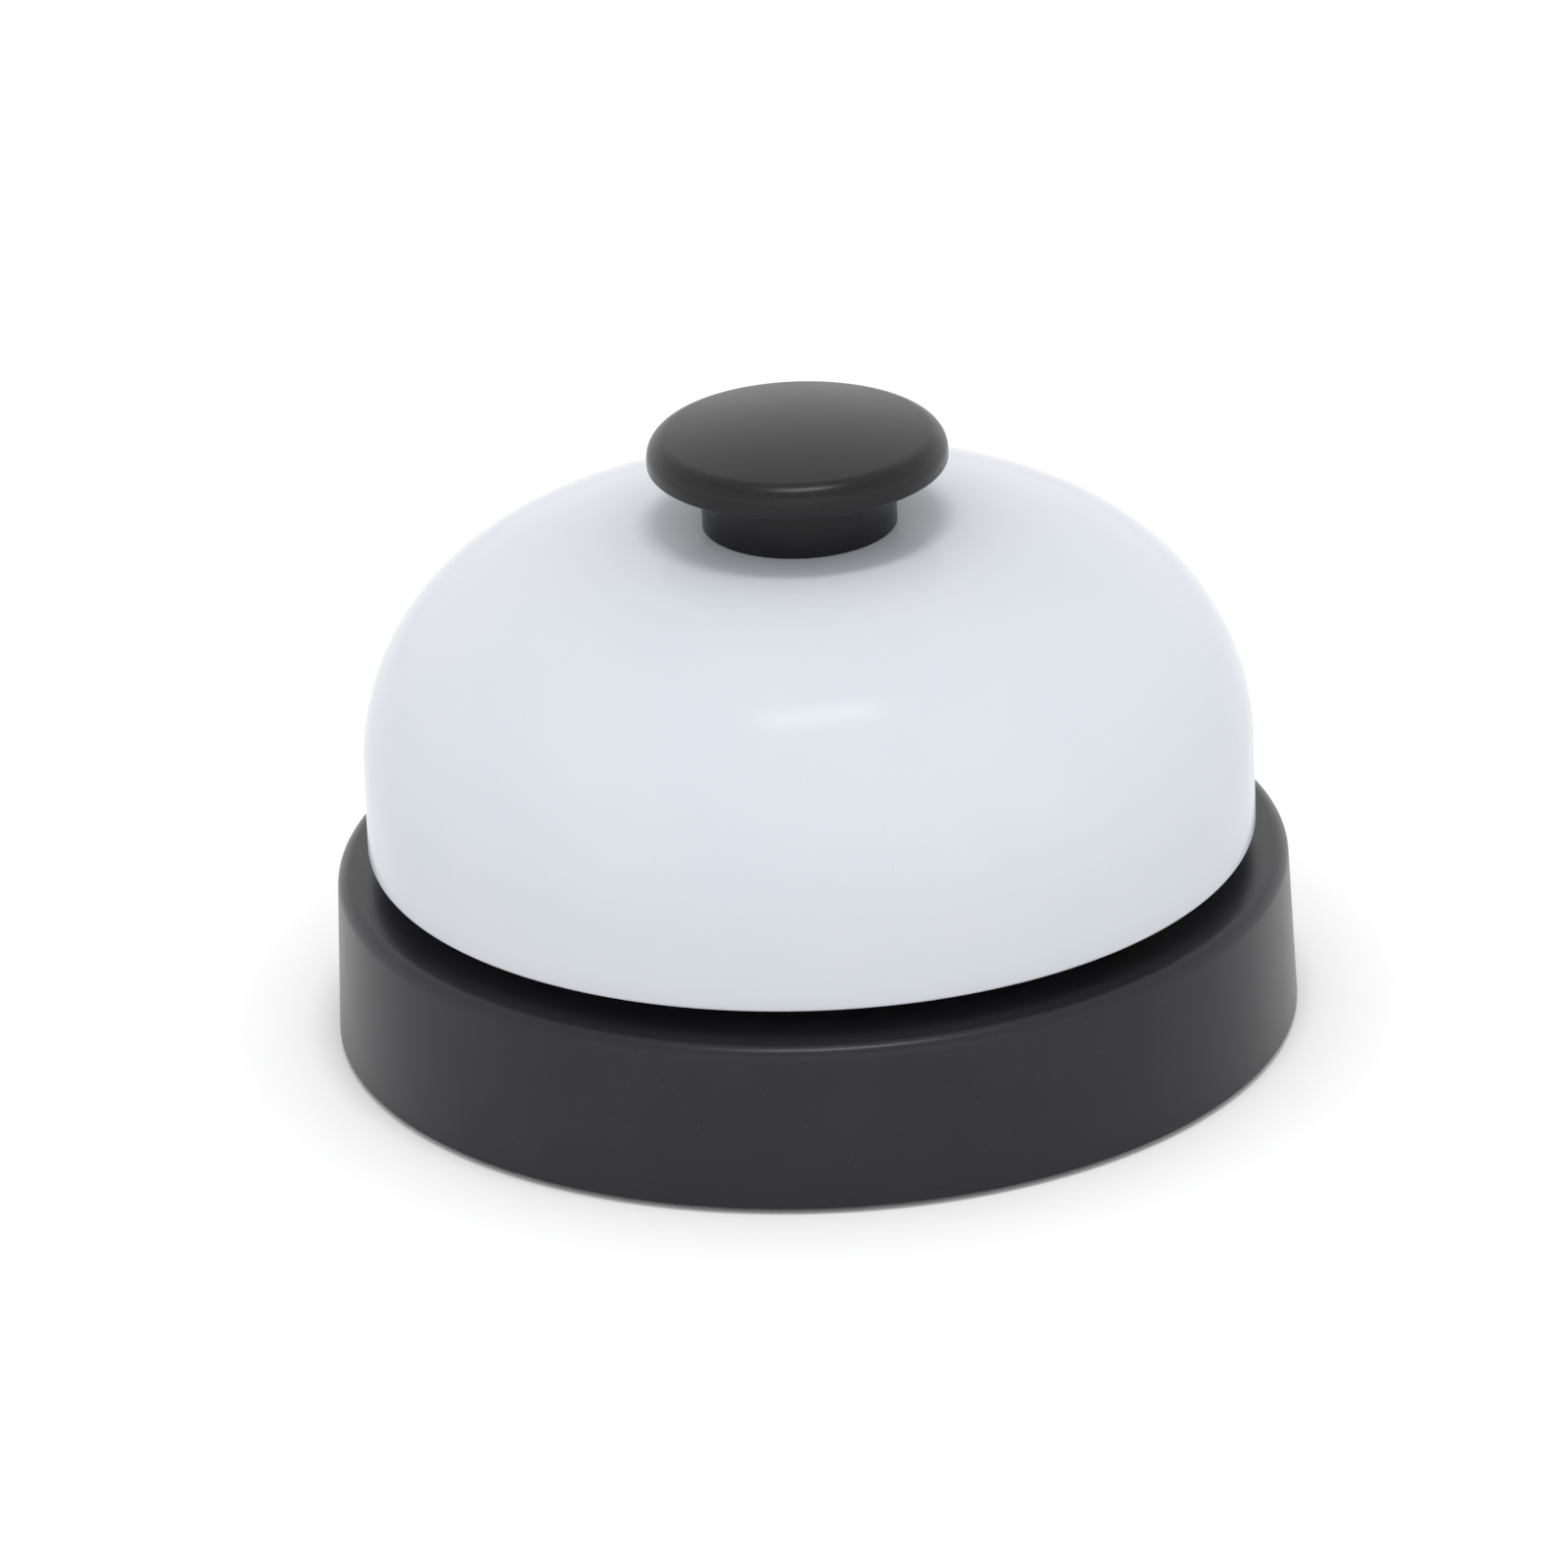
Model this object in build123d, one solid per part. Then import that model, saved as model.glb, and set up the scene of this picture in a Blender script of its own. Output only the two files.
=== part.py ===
"""Desk service bell: an enamelled dome on a moulded base, rung by a push button.

The button's rod turns a two-armed lever, which throws a hammer up against the dome.
Millimetres, +Z up. The origin is the centre of the footprint, on the table, and the
hammer lies towards +X.
"""

import math
import os

from build123d import *

os.makedirs("parts", exist_ok=True)

# Base: a moulded shell with a draft, closed by a steel plate on a rubber foot ring.
base_radius = 42.5  # where the drafted wall would meet the table
base_height = 15.3
base_draft = 2.0  # degrees
base_edge_radius = 1.3
base_wall = 2.2
base_floor_gap = 0.5  # under the shell's lower edge
well_radius = 33.0
well_depth = 2.3
deck_thickness = 2.2
foot_height = 1.6
foot_inset = 1.4  # from the plate's edge
foot_width = 8.0
plate_thickness = 1.6
plate_clearance = 0.4
boss_radius = 3.5
boss_circle = 26.0
boss_count = 3
boss_start = 180  # degrees about the bell's axis
rib_thickness = 1.5
screw_radius = 1.5
screw_length = 6.0
screw_head_radius = 2.8
screw_head_height = 1.2
screw_end_clearance = 0.5  # left at the bottom of a screw's hole

# Dome: a straight wall, a shoulder arc and a crown arc about a flat seat.
dome_radius = 39.2
dome_thickness = 1.0
dome_rim_gap = 2.3  # above the base
dome_wall_height = 7.8
dome_rise = 21.4  # from the top of the straight wall to the seat
dome_shoulder_radius = 19.8
dome_seat_radius = 11.6
dome_rim_round = 0.35

# Post, nuts and washers, which hold the dome clear of the mechanism.
post_radius = 5.0
post_spigot_step = 1.0
post_lip = 0.7
spring_bore_depth = 12.5
lock_washer_thickness = 0.6
lock_washer_width = 1.4  # past the post, so that it stays off the bends of the web
seat_nut_height = 3.0
seat_nut_wall = 2.0  # from thread to flat
seat_washer_width = 4.0
seat_washer_thickness = 0.8
collar_width = 3.55  # from the post to its outside
collar_height = 4.6
collar_edge_radius = 0.6
collar_insert_wall = 1.2  # from thread to flat
collar_insert_height = 3.0
collar_washer_width = 2.4
collar_washer_thickness = 0.5
post_below_collar = 0.4
hole_clearance = 0.2  # radial, of a hole that a part only passes through

# Button: a mushroom cap, hollow below, that comes down over the collar.
press_travel = 2.8
press_spare = 0.3  # between cap and collar at the end of the stroke
cap_radius = 13.2
cap_rim_radius = 2.0  # of the rim's upper edge
cap_rim_height = 0.5  # of the straight part below it
cap_foot_radius = 0.4  # of the rim's lower edge
cap_crown_angle = 9.5  # degrees, the crown's slope where it meets the rim
cap_collar_gap = 1.0  # how far the rim ends above the collar's top
cap_collar_clearance = 0.55
boss_wall = 0.75
boss_length = 5.5
rod_radius = 1.5
rod_fit = 0.06  # radial running clearance
rod_flat_depth = 0.35
clip_width = 1.5
clip_thickness = 0.6
clip_groove_depth = 0.4
clip_opening = 2.2
clip_gap = 0.05

# Return spring.
spring_wire = 0.5
spring_inside_clearance = 0.2
spring_outside_clearance = 0.3
spring_turns = 7
spring_end_gap = 0.03

# Bracket: a bridge over the lever, riveted to the deck by its two feet.
sheet = 1.2
bracket_back = -7.0
bracket_front = 10.5
pivot_height = 9.5  # above the deck
web_gap = 5.2  # between the pivot axis and the underside of the bridge
foot_flange = 7.0
bend_radius = 0.8
rivet_radius = 1.25
rivet_head_radius = 2.3
rivet_head_height = 0.8

# Lever and hammer.
input_arm = 5.8  # from the bell's axis to the pivot
hammer_arm = 21.0
lever_inner_half = 3.6
lever_arm_half = 3.6
lever_ear_height = 1.6
lever_ear_wall = 1.45  # round the pin's hole
pad_reach = 3.0  # of the input pad past the rod's axis
tip_gap = 0.08
pin_radius = 1.5
pin_fit = 0.05
thrust_washer_width = 1.25
thrust_washer_thickness = 0.5
thrust_washer_gap = 0.05
pin_end = 1.6
pin_clip_width = 1.5
pin_clip_thickness = 0.5
head_radius = 4.0
strike_gap = 0.5  # between the raised hammer and the dome
hammer_screw_radius = 1.5
hammer_screw_length = 6.0
hammer_screw_head_radius = 2.7
hammer_screw_head_height = 1.4
bumper_place = 17.0
bumper_radius = 3.2
bumper_gap = 0.15

# Radii that follow from the sizes above.
post_spigot_radius = post_radius - post_spigot_step
lock_washer_radius = post_radius + lock_washer_width
seat_washer_radius = post_radius + seat_washer_width
seat_nut_flats = 2 * (post_radius + seat_nut_wall)
collar_radius = post_radius + collar_width
collar_washer_radius = post_radius + collar_washer_width
collar_insert_flats = 2 * (post_radius + collar_insert_wall)
boss_tube_radius = rod_radius + boss_wall
spring_mean_radius = boss_tube_radius + spring_inside_clearance + spring_wire / 2
spring_bore_radius = spring_mean_radius + spring_wire / 2 + spring_outside_clearance
clip_radius = rod_radius + clip_width
pin_clip_radius = pin_radius + pin_clip_width
thrust_washer_radius = pin_radius + pin_fit + thrust_washer_width
lever_ear_radius = pin_radius + pin_fit + lever_ear_wall

# Heights that follow from the sizes above.
plate_top = foot_height + plate_thickness
deck_top = base_height - well_depth
deck_bottom = deck_top - deck_thickness
dome_rim = base_height + dome_rim_gap
dome_wall_top = dome_rim + dome_wall_height
dome_top = dome_wall_top + dome_rise
dome_inside_top = dome_top - dome_thickness
collar_top = dome_top + collar_height
cap_bottom = collar_top + cap_collar_gap
cap_ceiling = collar_top + press_travel + press_spare
pivot_z = deck_top + pivot_height
web_bottom = pivot_z + web_gap
web_top = web_bottom + sheet
post_shoulder = web_top + lock_washer_thickness
post_bottom = web_bottom - post_lip
post_top = collar_top - post_below_collar
spring_bottom = post_top - spring_bore_depth
washer_bottom = dome_inside_top - seat_washer_thickness
nut_bottom = washer_bottom - seat_nut_height
clip_top = post_bottom - clip_gap
rod_tip = pivot_z + press_travel / 2 + tip_gap
cheek_inner = lever_inner_half + sheet + thrust_washer_thickness + 2 * thrust_washer_gap
cheek_outer = cheek_inner + sheet

# The lever lies half its swing below level at rest and half above it when pressed.
half_swing = math.degrees(math.atan(press_travel / 2 / input_arm))

# The crown arc is tangent to the shoulder arc and level at the seat.
crown_run = dome_radius - dome_shoulder_radius - dome_seat_radius
crown_drop = dome_rise - dome_shoulder_radius
crown_offset = (crown_run**2 + crown_drop**2) / (2 * crown_drop)
crown_radius = dome_shoulder_radius + crown_offset
shoulder_angle = math.atan2(crown_offset - crown_drop, crown_run)
shoulder_centre = (dome_radius - dome_shoulder_radius, dome_wall_top)
crown_centre = (dome_seat_radius, dome_top - crown_radius)


def disc(radius, bottom, top):
    """A round solid on the bell's axis between two heights."""
    return Pos(0, 0, bottom) * Cylinder(radius, top - bottom, align=(Align.CENTER, Align.CENTER, Align.MIN))


def ring(outer, inner, bottom, top):
    """A washer on the bell's axis."""
    return disc(outer, bottom, top) - disc(inner, bottom - 1, top + 1)


def block(x, y, z):
    """A box from three (low, high) pairs."""
    centre = [(low + high) / 2 for low, high in (x, y, z)]
    return Pos(*centre) * Box(x[1] - x[0], y[1] - y[0], z[1] - z[0])


def hexagon(flats, bottom, top):
    """A hexagonal prism on the bell's axis, with two flats facing along X."""
    outline = RegularPolygon(flats / 2, 6, major_radius=False, rotation=30)
    return Pos(0, 0, bottom) * extrude(outline, top - bottom)


def turned(*edges):
    """The solid of a closed half-section, given as edges in radius and height."""
    section = make_face(Curve() + list(edges))
    return revolve(Plane.XZ * section, Axis.Z)


def on_circle(shape, radius, count, start=0):
    """Copies of one solid, evenly spaced about the bell's axis."""
    return [Rot(0, 0, start + 360 * k / count) * Pos(radius, 0, 0) * shape for k in range(count)]


def polar(centre, radius, angle):
    """A point of a circle, by its angle in radians above the radial direction."""
    return (centre[0] + radius * math.cos(angle), centre[1] + radius * math.sin(angle))


def arc(centre, radius, start, end):
    """An arc of a half-section, between two angles in radians."""
    points = [polar(centre, radius, a) for a in (start, (start + end) / 2, end)]
    return ThreePointArc(*points)


def wall_radius(height):
    """The outer radius of the drafted base wall at a height."""
    return base_radius - height * math.tan(math.radians(base_draft))


def plate_radius():
    """The bottom plate's radius, clear of the inside of the base wall."""
    return wall_radius(base_floor_gap) - base_wall - plate_clearance


def level_lever_to_rest(shape):
    """Moves a shape from the lever's own level frame to its place at rest."""
    return Pos(input_arm, 0, pivot_z) * Rot(0, half_swing, 0) * shape


def dome_clearance(x, z):
    """The distance from a point under the dome to the dome's inner face."""
    angle = math.atan2(z - shoulder_centre[1], x - shoulder_centre[0])
    if angle < shoulder_angle:
        centre, radius = shoulder_centre, dome_shoulder_radius
    else:
        centre, radius = crown_centre, crown_radius
    if x < dome_seat_radius:
        return dome_inside_top - z
    return radius - dome_thickness - math.hypot(x - centre[0], z - centre[1])


def hammer_height():
    """How tall the straight part of the hammer is, so that it stops short of the dome."""
    swing = math.radians(half_swing)
    low, high = 0.0, 2 * dome_rise
    for _ in range(50):
        middle = (low + high) / 2
        x = input_arm + hammer_arm * math.cos(swing) - middle * math.sin(swing)
        z = pivot_z + hammer_arm * math.sin(swing) + middle * math.cos(swing)
        if dome_clearance(x, z) > head_radius + strike_gap:
            low = middle
        else:
            high = middle
    return low


def base_shell():
    """The moulded base: drafted wall, flat land, sunken deck, screw bosses and ribs."""
    inside = base_height - base_wall
    land = wall_radius(base_height)
    outer = Polyline(
        (0, deck_top), (well_radius, deck_top), (well_radius, base_height), (land, base_height),
        (wall_radius(base_floor_gap), base_floor_gap),
    )
    inner = Polyline(
        (wall_radius(base_floor_gap), base_floor_gap),
        (wall_radius(base_floor_gap) - base_wall, base_floor_gap),
        (wall_radius(inside) - base_wall, inside), (well_radius + base_wall, inside),
        (well_radius + base_wall, deck_bottom), (0, deck_bottom), (0, deck_top),
    )
    shell = turned(*outer.edges(), *inner.edges())
    rim = shell.edges().filter_by(GeomType.CIRCLE).filter_by(lambda e: abs(e.radius - land) < 1e-6)
    shell = fillet(rim, base_edge_radius)
    boss = disc(boss_radius, plate_top, deck_bottom)
    rib_end = wall_radius(deck_bottom) - base_wall / 2
    rib = block((0, rib_end - boss_circle), (-rib_thickness / 2, rib_thickness / 2), (plate_top, deck_bottom))
    shell += on_circle(boss + rib, boss_circle, boss_count, boss_start)
    pilot = disc(screw_radius, plate_top - 1, plate_top + screw_length)
    shell -= on_circle(pilot, boss_circle, boss_count, boss_start)
    rivet_hole = disc(rivet_radius, deck_bottom - 1, deck_top + 1)
    return shell - [Pos(x, y, 0) * rivet_hole for x, y in rivet_places()]


def base_plate():
    """The steel bottom plate, which gives the base its weight."""
    plate = disc(plate_radius(), foot_height, plate_top)
    hole = disc(screw_radius + hole_clearance, 0, plate_top + 1)
    return plate - on_circle(hole, boss_circle, boss_count, boss_start)


def foot_ring():
    """The rubber ring that the bell stands on."""
    radius = plate_radius() - foot_inset
    body = ring(radius, radius - foot_width, 0, foot_height)
    bottom = body.edges().group_by(Axis.Z)[0]
    return fillet(bottom, foot_height / 4)


def base_screws():
    """Three pan-head screws, from below the plate into the bosses."""
    head = disc(screw_head_radius, foot_height - screw_head_height, foot_height)
    head = fillet(head.edges().group_by(Axis.Z)[0], screw_head_height / 3)
    slot_floor = foot_height - screw_head_height / 2
    long, short = 0.57 * screw_head_radius, 0.11 * screw_head_radius
    cross = block((-long, long), (-short, short), (0, slot_floor))
    cross += block((-short, short), (-long, long), (0, slot_floor))
    screw = head + disc(screw_radius, foot_height, plate_top + screw_length - screw_end_clearance) - cross
    return on_circle(screw, boss_circle, boss_count, boss_start)


def rivet_places():
    """The centres of the bracket's four rivets."""
    x_places = (bracket_back + foot_flange / 2, bracket_front - foot_flange / 2)
    y_place = cheek_outer + foot_flange / 2
    return [(x, side * y_place) for x in x_places for side in (-1, 1)]


def mechanism_bracket():
    """A bridge of bent sheet: web, two cheeks with the pivot holes, two feet."""
    length = (bracket_back, bracket_front)
    edge = cheek_outer + foot_flange
    body = block(length, (-cheek_outer, cheek_outer), (deck_top, web_top))
    body = fillet(body.edges().filter_by(Axis.X).group_by(Axis.Z)[-1], bend_radius + sheet)
    body += block(length, (-edge, edge), (deck_top, deck_top + sheet))
    inside = block(
        (bracket_back - 1, bracket_front + 1), (-cheek_inner, cheek_inner), (deck_top - 1, web_bottom)
    )
    inside = fillet(inside.edges().filter_by(Axis.X).group_by(Axis.Z)[-1], bend_radius)
    body -= inside
    corners = body.edges().filter_by(Axis.Z).filter_by(lambda e: abs(abs(e.center().Y) - edge) < 1e-6)
    body = fillet(corners, foot_flange / 3)
    body -= disc(post_spigot_radius, web_bottom - 1, web_top + 1)
    body -= Pos(input_arm, 0, pivot_z) * Rot(90, 0, 0) * Cylinder(pin_radius, 4 * cheek_outer)
    rivet_hole = disc(rivet_radius, deck_top - 1, deck_top + sheet + 1)
    return body - [Pos(x, y, 0) * rivet_hole for x, y in rivet_places()]


def bracket_rivets():
    """Four rivets through the feet and the deck."""
    top = deck_top + sheet
    head = disc(rivet_head_radius, top, top + rivet_head_height)
    head = fillet(head.edges().group_by(Axis.Z)[-1], rivet_head_height * 0.8)
    tail = disc(rivet_head_radius - 0.3, deck_bottom - 0.6, deck_bottom)
    rivet = head + tail + disc(rivet_radius, deck_bottom, top)
    return [Pos(x, y, 0) * rivet for x, y in rivet_places()]


def guide_section(radius, flat_depth):
    """A round section with one flat, which keeps the button from turning."""
    cut = Pos(flat_depth - 2 * radius, 0) * Rectangle(2 * radius, 4 * radius)
    return Circle(radius) - cut


def threaded_post():
    """The hollow post: spigot riveted under the web, guide bore, spring bore."""
    body = disc(post_radius, post_shoulder, post_top) + disc(post_spigot_radius, post_bottom, post_shoulder)
    body += disc(post_spigot_radius + post_lip, post_bottom, web_bottom)
    body = chamfer(body.edges().group_by(Axis.Z)[-1], 0.5)
    body -= disc(spring_bore_radius, spring_bottom, post_top + 1)
    bore = Pos(0, 0, post_bottom - 1) * extrude(
        guide_section(rod_radius + rod_fit, rod_flat_depth), spring_bottom - post_bottom + 2
    )
    return body - bore


def post_lock_washer():
    """The washer between the post's shoulder and the bracket."""
    return ring(lock_washer_radius, post_spigot_radius, web_top, post_shoulder)


def dome_seat_nut():
    """The hexagonal nut under the dome, which sets the dome's height."""
    thread = disc(post_radius, nut_bottom - 1, washer_bottom + 1)
    return hexagon(seat_nut_flats, nut_bottom, washer_bottom) - thread


def dome_lower_washer():
    """The soft washer between the nut and the dome."""
    return ring(seat_washer_radius, post_radius + hole_clearance / 2, washer_bottom, dome_inside_top)


def dome_outline(inset):
    """The dome's section line, from its rim to its hole, set in by some depth."""
    hole = post_radius + hole_clearance
    top = dome_top - inset
    wall = Line((dome_radius - inset, dome_rim), (dome_radius - inset, dome_wall_top))
    shoulder = arc(shoulder_centre, dome_shoulder_radius - inset, 0, shoulder_angle)
    crown = arc(crown_centre, crown_radius - inset, shoulder_angle, math.pi / 2)
    seat = Line((dome_seat_radius, top), (hole, top))
    return [wall, shoulder, crown, seat]


def bell_dome():
    """The pressed dome, of one thickness all over."""
    hole = post_radius + hole_clearance
    rim = Line((dome_radius, dome_rim), (dome_radius - dome_thickness, dome_rim))
    bore = Line((hole, dome_top), (hole, dome_inside_top))
    dome = turned(*dome_outline(0), *dome_outline(dome_thickness), rim, bore)
    return fillet(dome.edges().group_by(Axis.Z)[0], dome_rim_round)


def collar_nut():
    """The round moulded nut that clamps the dome and guides the cap."""
    body = disc(collar_radius, dome_top, collar_top)
    body = fillet(body.edges().group_by(Axis.Z)[-1], collar_edge_radius)
    insert_bottom = dome_top + collar_washer_thickness
    body -= disc(collar_washer_radius, dome_top - 1, insert_bottom)
    body -= hexagon(collar_insert_flats, insert_bottom, insert_bottom + collar_insert_height)
    return body - disc(post_radius + hole_clearance, dome_top, collar_top + 1)


def collar_insert():
    """The threaded brass insert moulded into the collar."""
    bottom = dome_top + collar_washer_thickness
    top = bottom + collar_insert_height
    return hexagon(collar_insert_flats, bottom, top) - disc(post_radius, bottom - 1, top + 1)


def dome_upper_washer():
    """The soft washer in the collar's recess, on top of the dome."""
    return ring(
        collar_washer_radius, post_radius + hole_clearance / 2, dome_top, dome_top + collar_washer_thickness
    )


def button_cap():
    """The mushroom cap: rounded rim, crowned top, hollow for the collar, boss for the rod."""
    foot_centre = (cap_radius - cap_foot_radius, cap_bottom + cap_foot_radius)
    rim_centre = (cap_radius - cap_rim_radius, foot_centre[1] + cap_rim_height)
    crown_start = math.radians(90 - cap_crown_angle)
    crown_edge, crown_edge_z = polar(rim_centre, cap_rim_radius, crown_start)
    sphere = crown_edge / math.sin(math.radians(cap_crown_angle))
    sphere_centre = (0, crown_edge_z - sphere * math.cos(math.radians(cap_crown_angle)))
    crown_top = sphere_centre[1] + sphere
    hollow = collar_radius + cap_collar_clearance
    cap = turned(
        Line((0, cap_bottom), (foot_centre[0], cap_bottom)),
        arc(foot_centre, cap_foot_radius, -math.pi / 2, 0),
        Line((cap_radius, foot_centre[1]), (cap_radius, rim_centre[1])),
        arc(rim_centre, cap_rim_radius, 0, crown_start),
        arc(sphere_centre, sphere, crown_start, math.pi / 2),
        Line((0, crown_top), (0, cap_bottom)),
    )
    cap -= disc(hollow, cap_bottom - 1, cap_ceiling)
    mouth = cap.edges().filter_by(GeomType.CIRCLE).filter_by(lambda e: abs(e.radius - hollow) < 1e-6)
    cap = fillet(mouth.group_by(Axis.Z)[0], 0.4)
    cap += disc(boss_tube_radius, cap_ceiling - boss_length, cap_ceiling)
    return cap - disc(rod_radius, cap_ceiling - boss_length - 1, cap_ceiling)


def plunger_rod():
    """The rod under the cap: round tip, flat for the guide bore, groove for its clip."""
    tip_centre = rod_tip + rod_radius
    shaft = disc(rod_radius, tip_centre, cap_ceiling) + Pos(0, 0, tip_centre) * Sphere(rod_radius)
    flat_top = cap_ceiling - boss_length - rod_flat_depth
    flat = block(
        (-3 * rod_radius, rod_flat_depth + rod_fit - rod_radius),
        (-2 * rod_radius, 2 * rod_radius),
        (tip_centre, flat_top),
    )
    groove = ring(2 * rod_radius, rod_radius - clip_groove_depth, clip_top - clip_thickness, clip_top)
    return shaft - flat - groove


def rod_clip():
    """The retaining clip that stops the rod under the post."""
    clip = ring(clip_radius, rod_radius - clip_groove_depth, clip_top - clip_thickness, clip_top)
    half = clip_opening / 2
    opening = block((-2 * clip_radius, 0), (-half, half), (clip_top - 1, clip_top + 1))
    return clip - opening


def return_spring():
    """The coil spring between the spring bore's floor and the cap."""
    low = spring_bottom + spring_wire / 2 + spring_end_gap
    high = cap_ceiling - spring_wire / 2 - spring_end_gap
    path = Pos(0, 0, low) * Helix((high - low) / spring_turns, high - low, spring_mean_radius)
    section = Plane(path @ 0, z_dir=path % 0) * Circle(spring_wire / 2)
    return sweep(section, path, is_frenet=True)


def hammer_lever():
    """The pressed lever: input pad, two ears on the pin, arm that carries the hammer."""
    end = hammer_arm
    outer = lever_inner_half + sheet
    clear = pin_radius + 2 * sheet - pin_fit
    pad_end = -(input_arm + pad_reach)
    pad = block((pad_end, -clear), (-outer, outer), (-sheet, 0))
    arm = block((clear, end), (-lever_arm_half, lever_arm_half), (-sheet, 0))
    arm += Pos(end, 0, -sheet / 2) * Cylinder(lever_arm_half + sheet, sheet)
    root = block((clear, input_arm + pad_reach), (-outer, outer), (-sheet, 0))
    strip = block((pad_end, input_arm + pad_reach), (-outer, outer), (-sheet, lever_ear_height))
    lobe = Rot(90, 0, 0) * Cylinder(lever_ear_radius, 2 * outer)
    channel = block((-2 * end, 2 * end), (-lever_inner_half, lever_inner_half), (-2 * outer, 2 * outer))
    ears = strip + lobe - channel
    hole = Rot(90, 0, 0) * Cylinder(pin_radius + pin_fit, 4 * outer)
    screw_hole = Pos(end, 0, 0) * Cylinder(hammer_screw_radius, 4 * sheet)
    return level_lever_to_rest(pad + arm + root + ears - hole - screw_hole)


def hammer_head():
    """The brass striker that stands on the lever's end, with a round top."""
    height = hammer_height()
    head = disc(head_radius, 0, height) + Pos(0, 0, height) * Sphere(head_radius)
    head = chamfer(head.edges().group_by(Axis.Z)[0], 0.4)
    head -= disc(hammer_screw_radius, -1, hammer_screw_length)
    return level_lever_to_rest(Pos(hammer_arm, 0, 0) * head)


def hammer_screw():
    """The screw that holds the striker, from below the lever."""
    bottom = -sheet - hammer_screw_head_height
    head = disc(hammer_screw_head_radius, bottom, -sheet)
    head = fillet(head.edges().group_by(Axis.Z)[0], hammer_screw_head_height / 3)
    half_slot = 0.15 * hammer_screw_head_radius
    slot_top = bottom + hammer_screw_head_height / 2
    slot = block((-2 * head_radius, 2 * head_radius), (-half_slot, half_slot), (bottom - 1, slot_top))
    screw = head + disc(hammer_screw_radius, -sheet, hammer_screw_length - screw_end_clearance) - slot
    return level_lever_to_rest(Pos(hammer_arm, 0, 0) * screw)


def across(radius, inner, start, end):
    """A ring about the pivot axis, between two distances from the bell's middle plane."""
    turn = Pos(input_arm, 0, pivot_z) * Rot(90, 0, 0)
    body = Pos(0, 0, (start + end) / 2) * Cylinder(radius, end - start)
    if inner > 0:
        body -= Pos(0, 0, (start + end) / 2) * Cylinder(inner, end - start + 2)
    return turn * body


def pivot_pin():
    """The pin across the bracket that the lever turns on."""
    return across(pin_radius, 0, -cheek_outer - pin_end, cheek_outer + pin_end)


def pin_clips():
    """Two push-on rings that keep the pin in the bracket."""
    low, high = cheek_outer, cheek_outer + pin_clip_thickness
    return [across(pin_clip_radius, pin_radius, *span) for span in ((low, high), (-high, -low))]


def thrust_washers():
    """Two thin washers between the lever's ears and the cheeks."""
    low = lever_inner_half + sheet + thrust_washer_gap
    high = low + thrust_washer_thickness
    spans = ((low, high), (-high, -low))
    return [across(thrust_washer_radius, pin_radius + pin_fit, *span) for span in spans]


def lever_bumper():
    """The rubber stop on the deck, under the resting hammer arm."""
    stop = Pos(bumper_place, 0, 0) * disc(bumper_radius, deck_top, pivot_z)
    above = level_lever_to_rest(block((0, 3 * hammer_arm), (-20, 20), (-sheet - bumper_gap, 60)))
    return stop - above


nodes = {
    "base_shell": base_shell,
    "base_plate": base_plate,
    "foot_ring": foot_ring,
    "base_screws": base_screws,
    "mechanism_bracket": mechanism_bracket,
    "bracket_rivets": bracket_rivets,
    "threaded_post": threaded_post,
    "post_lock_washer": post_lock_washer,
    "dome_seat_nut": dome_seat_nut,
    "dome_lower_washer": dome_lower_washer,
    "bell_dome": bell_dome,
    "dome_upper_washer": dome_upper_washer,
    "collar_nut": collar_nut,
    "collar_insert": collar_insert,
    "button_cap": button_cap,
    "plunger_rod": plunger_rod,
    "rod_clip": rod_clip,
    "return_spring": return_spring,
    "hammer_lever": hammer_lever,
    "hammer_head": hammer_head,
    "hammer_screw": hammer_screw,
    "pivot_pin": pivot_pin,
    "pin_clips": pin_clips,
    "thrust_washers": thrust_washers,
    "lever_bumper": lever_bumper,
}

for name, make in nodes.items():
    made = make()
    solids = [solid for shape in (made if isinstance(made, list) else [made]) for solid in shape.solids()]
    export_step(solids[0] if len(solids) == 1 else Compound(children=solids), f"parts/{name}.step")

print(f"pivot at x {input_arm:.2f}, z {pivot_z:.3f}; half swing {half_swing:.4f} degrees")
print(f"lever turn per metre of press {math.radians(2 * half_swing) / press_travel * 1000:.3f} rad")
print(f"spring from {spring_bottom:.3f} to {cap_ceiling:.3f} mm")
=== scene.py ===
# %% [markdown]
# # A desk service bell
#
# The bell is a white enamelled dome over a round black base, with a black push button on top. Under
# the dome a small mechanism turns the press of the button into a knock. The CAD model gives every
# piece its place and size. This notebook gives each piece its real surface: rounded edges, threads,
# stamped and turned detail, and a finish that is built from nodes.
#
# Most of a bell is made on a lathe or a spinning machine, so most pieces here are turned as well:
# a half-section is drawn as a thin line, and Geometry Nodes turn it round the bell's axis.

# %% Load the frame
import math

import bmesh
import bpy
from mathutils import Matrix, Quaternion, Vector


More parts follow.
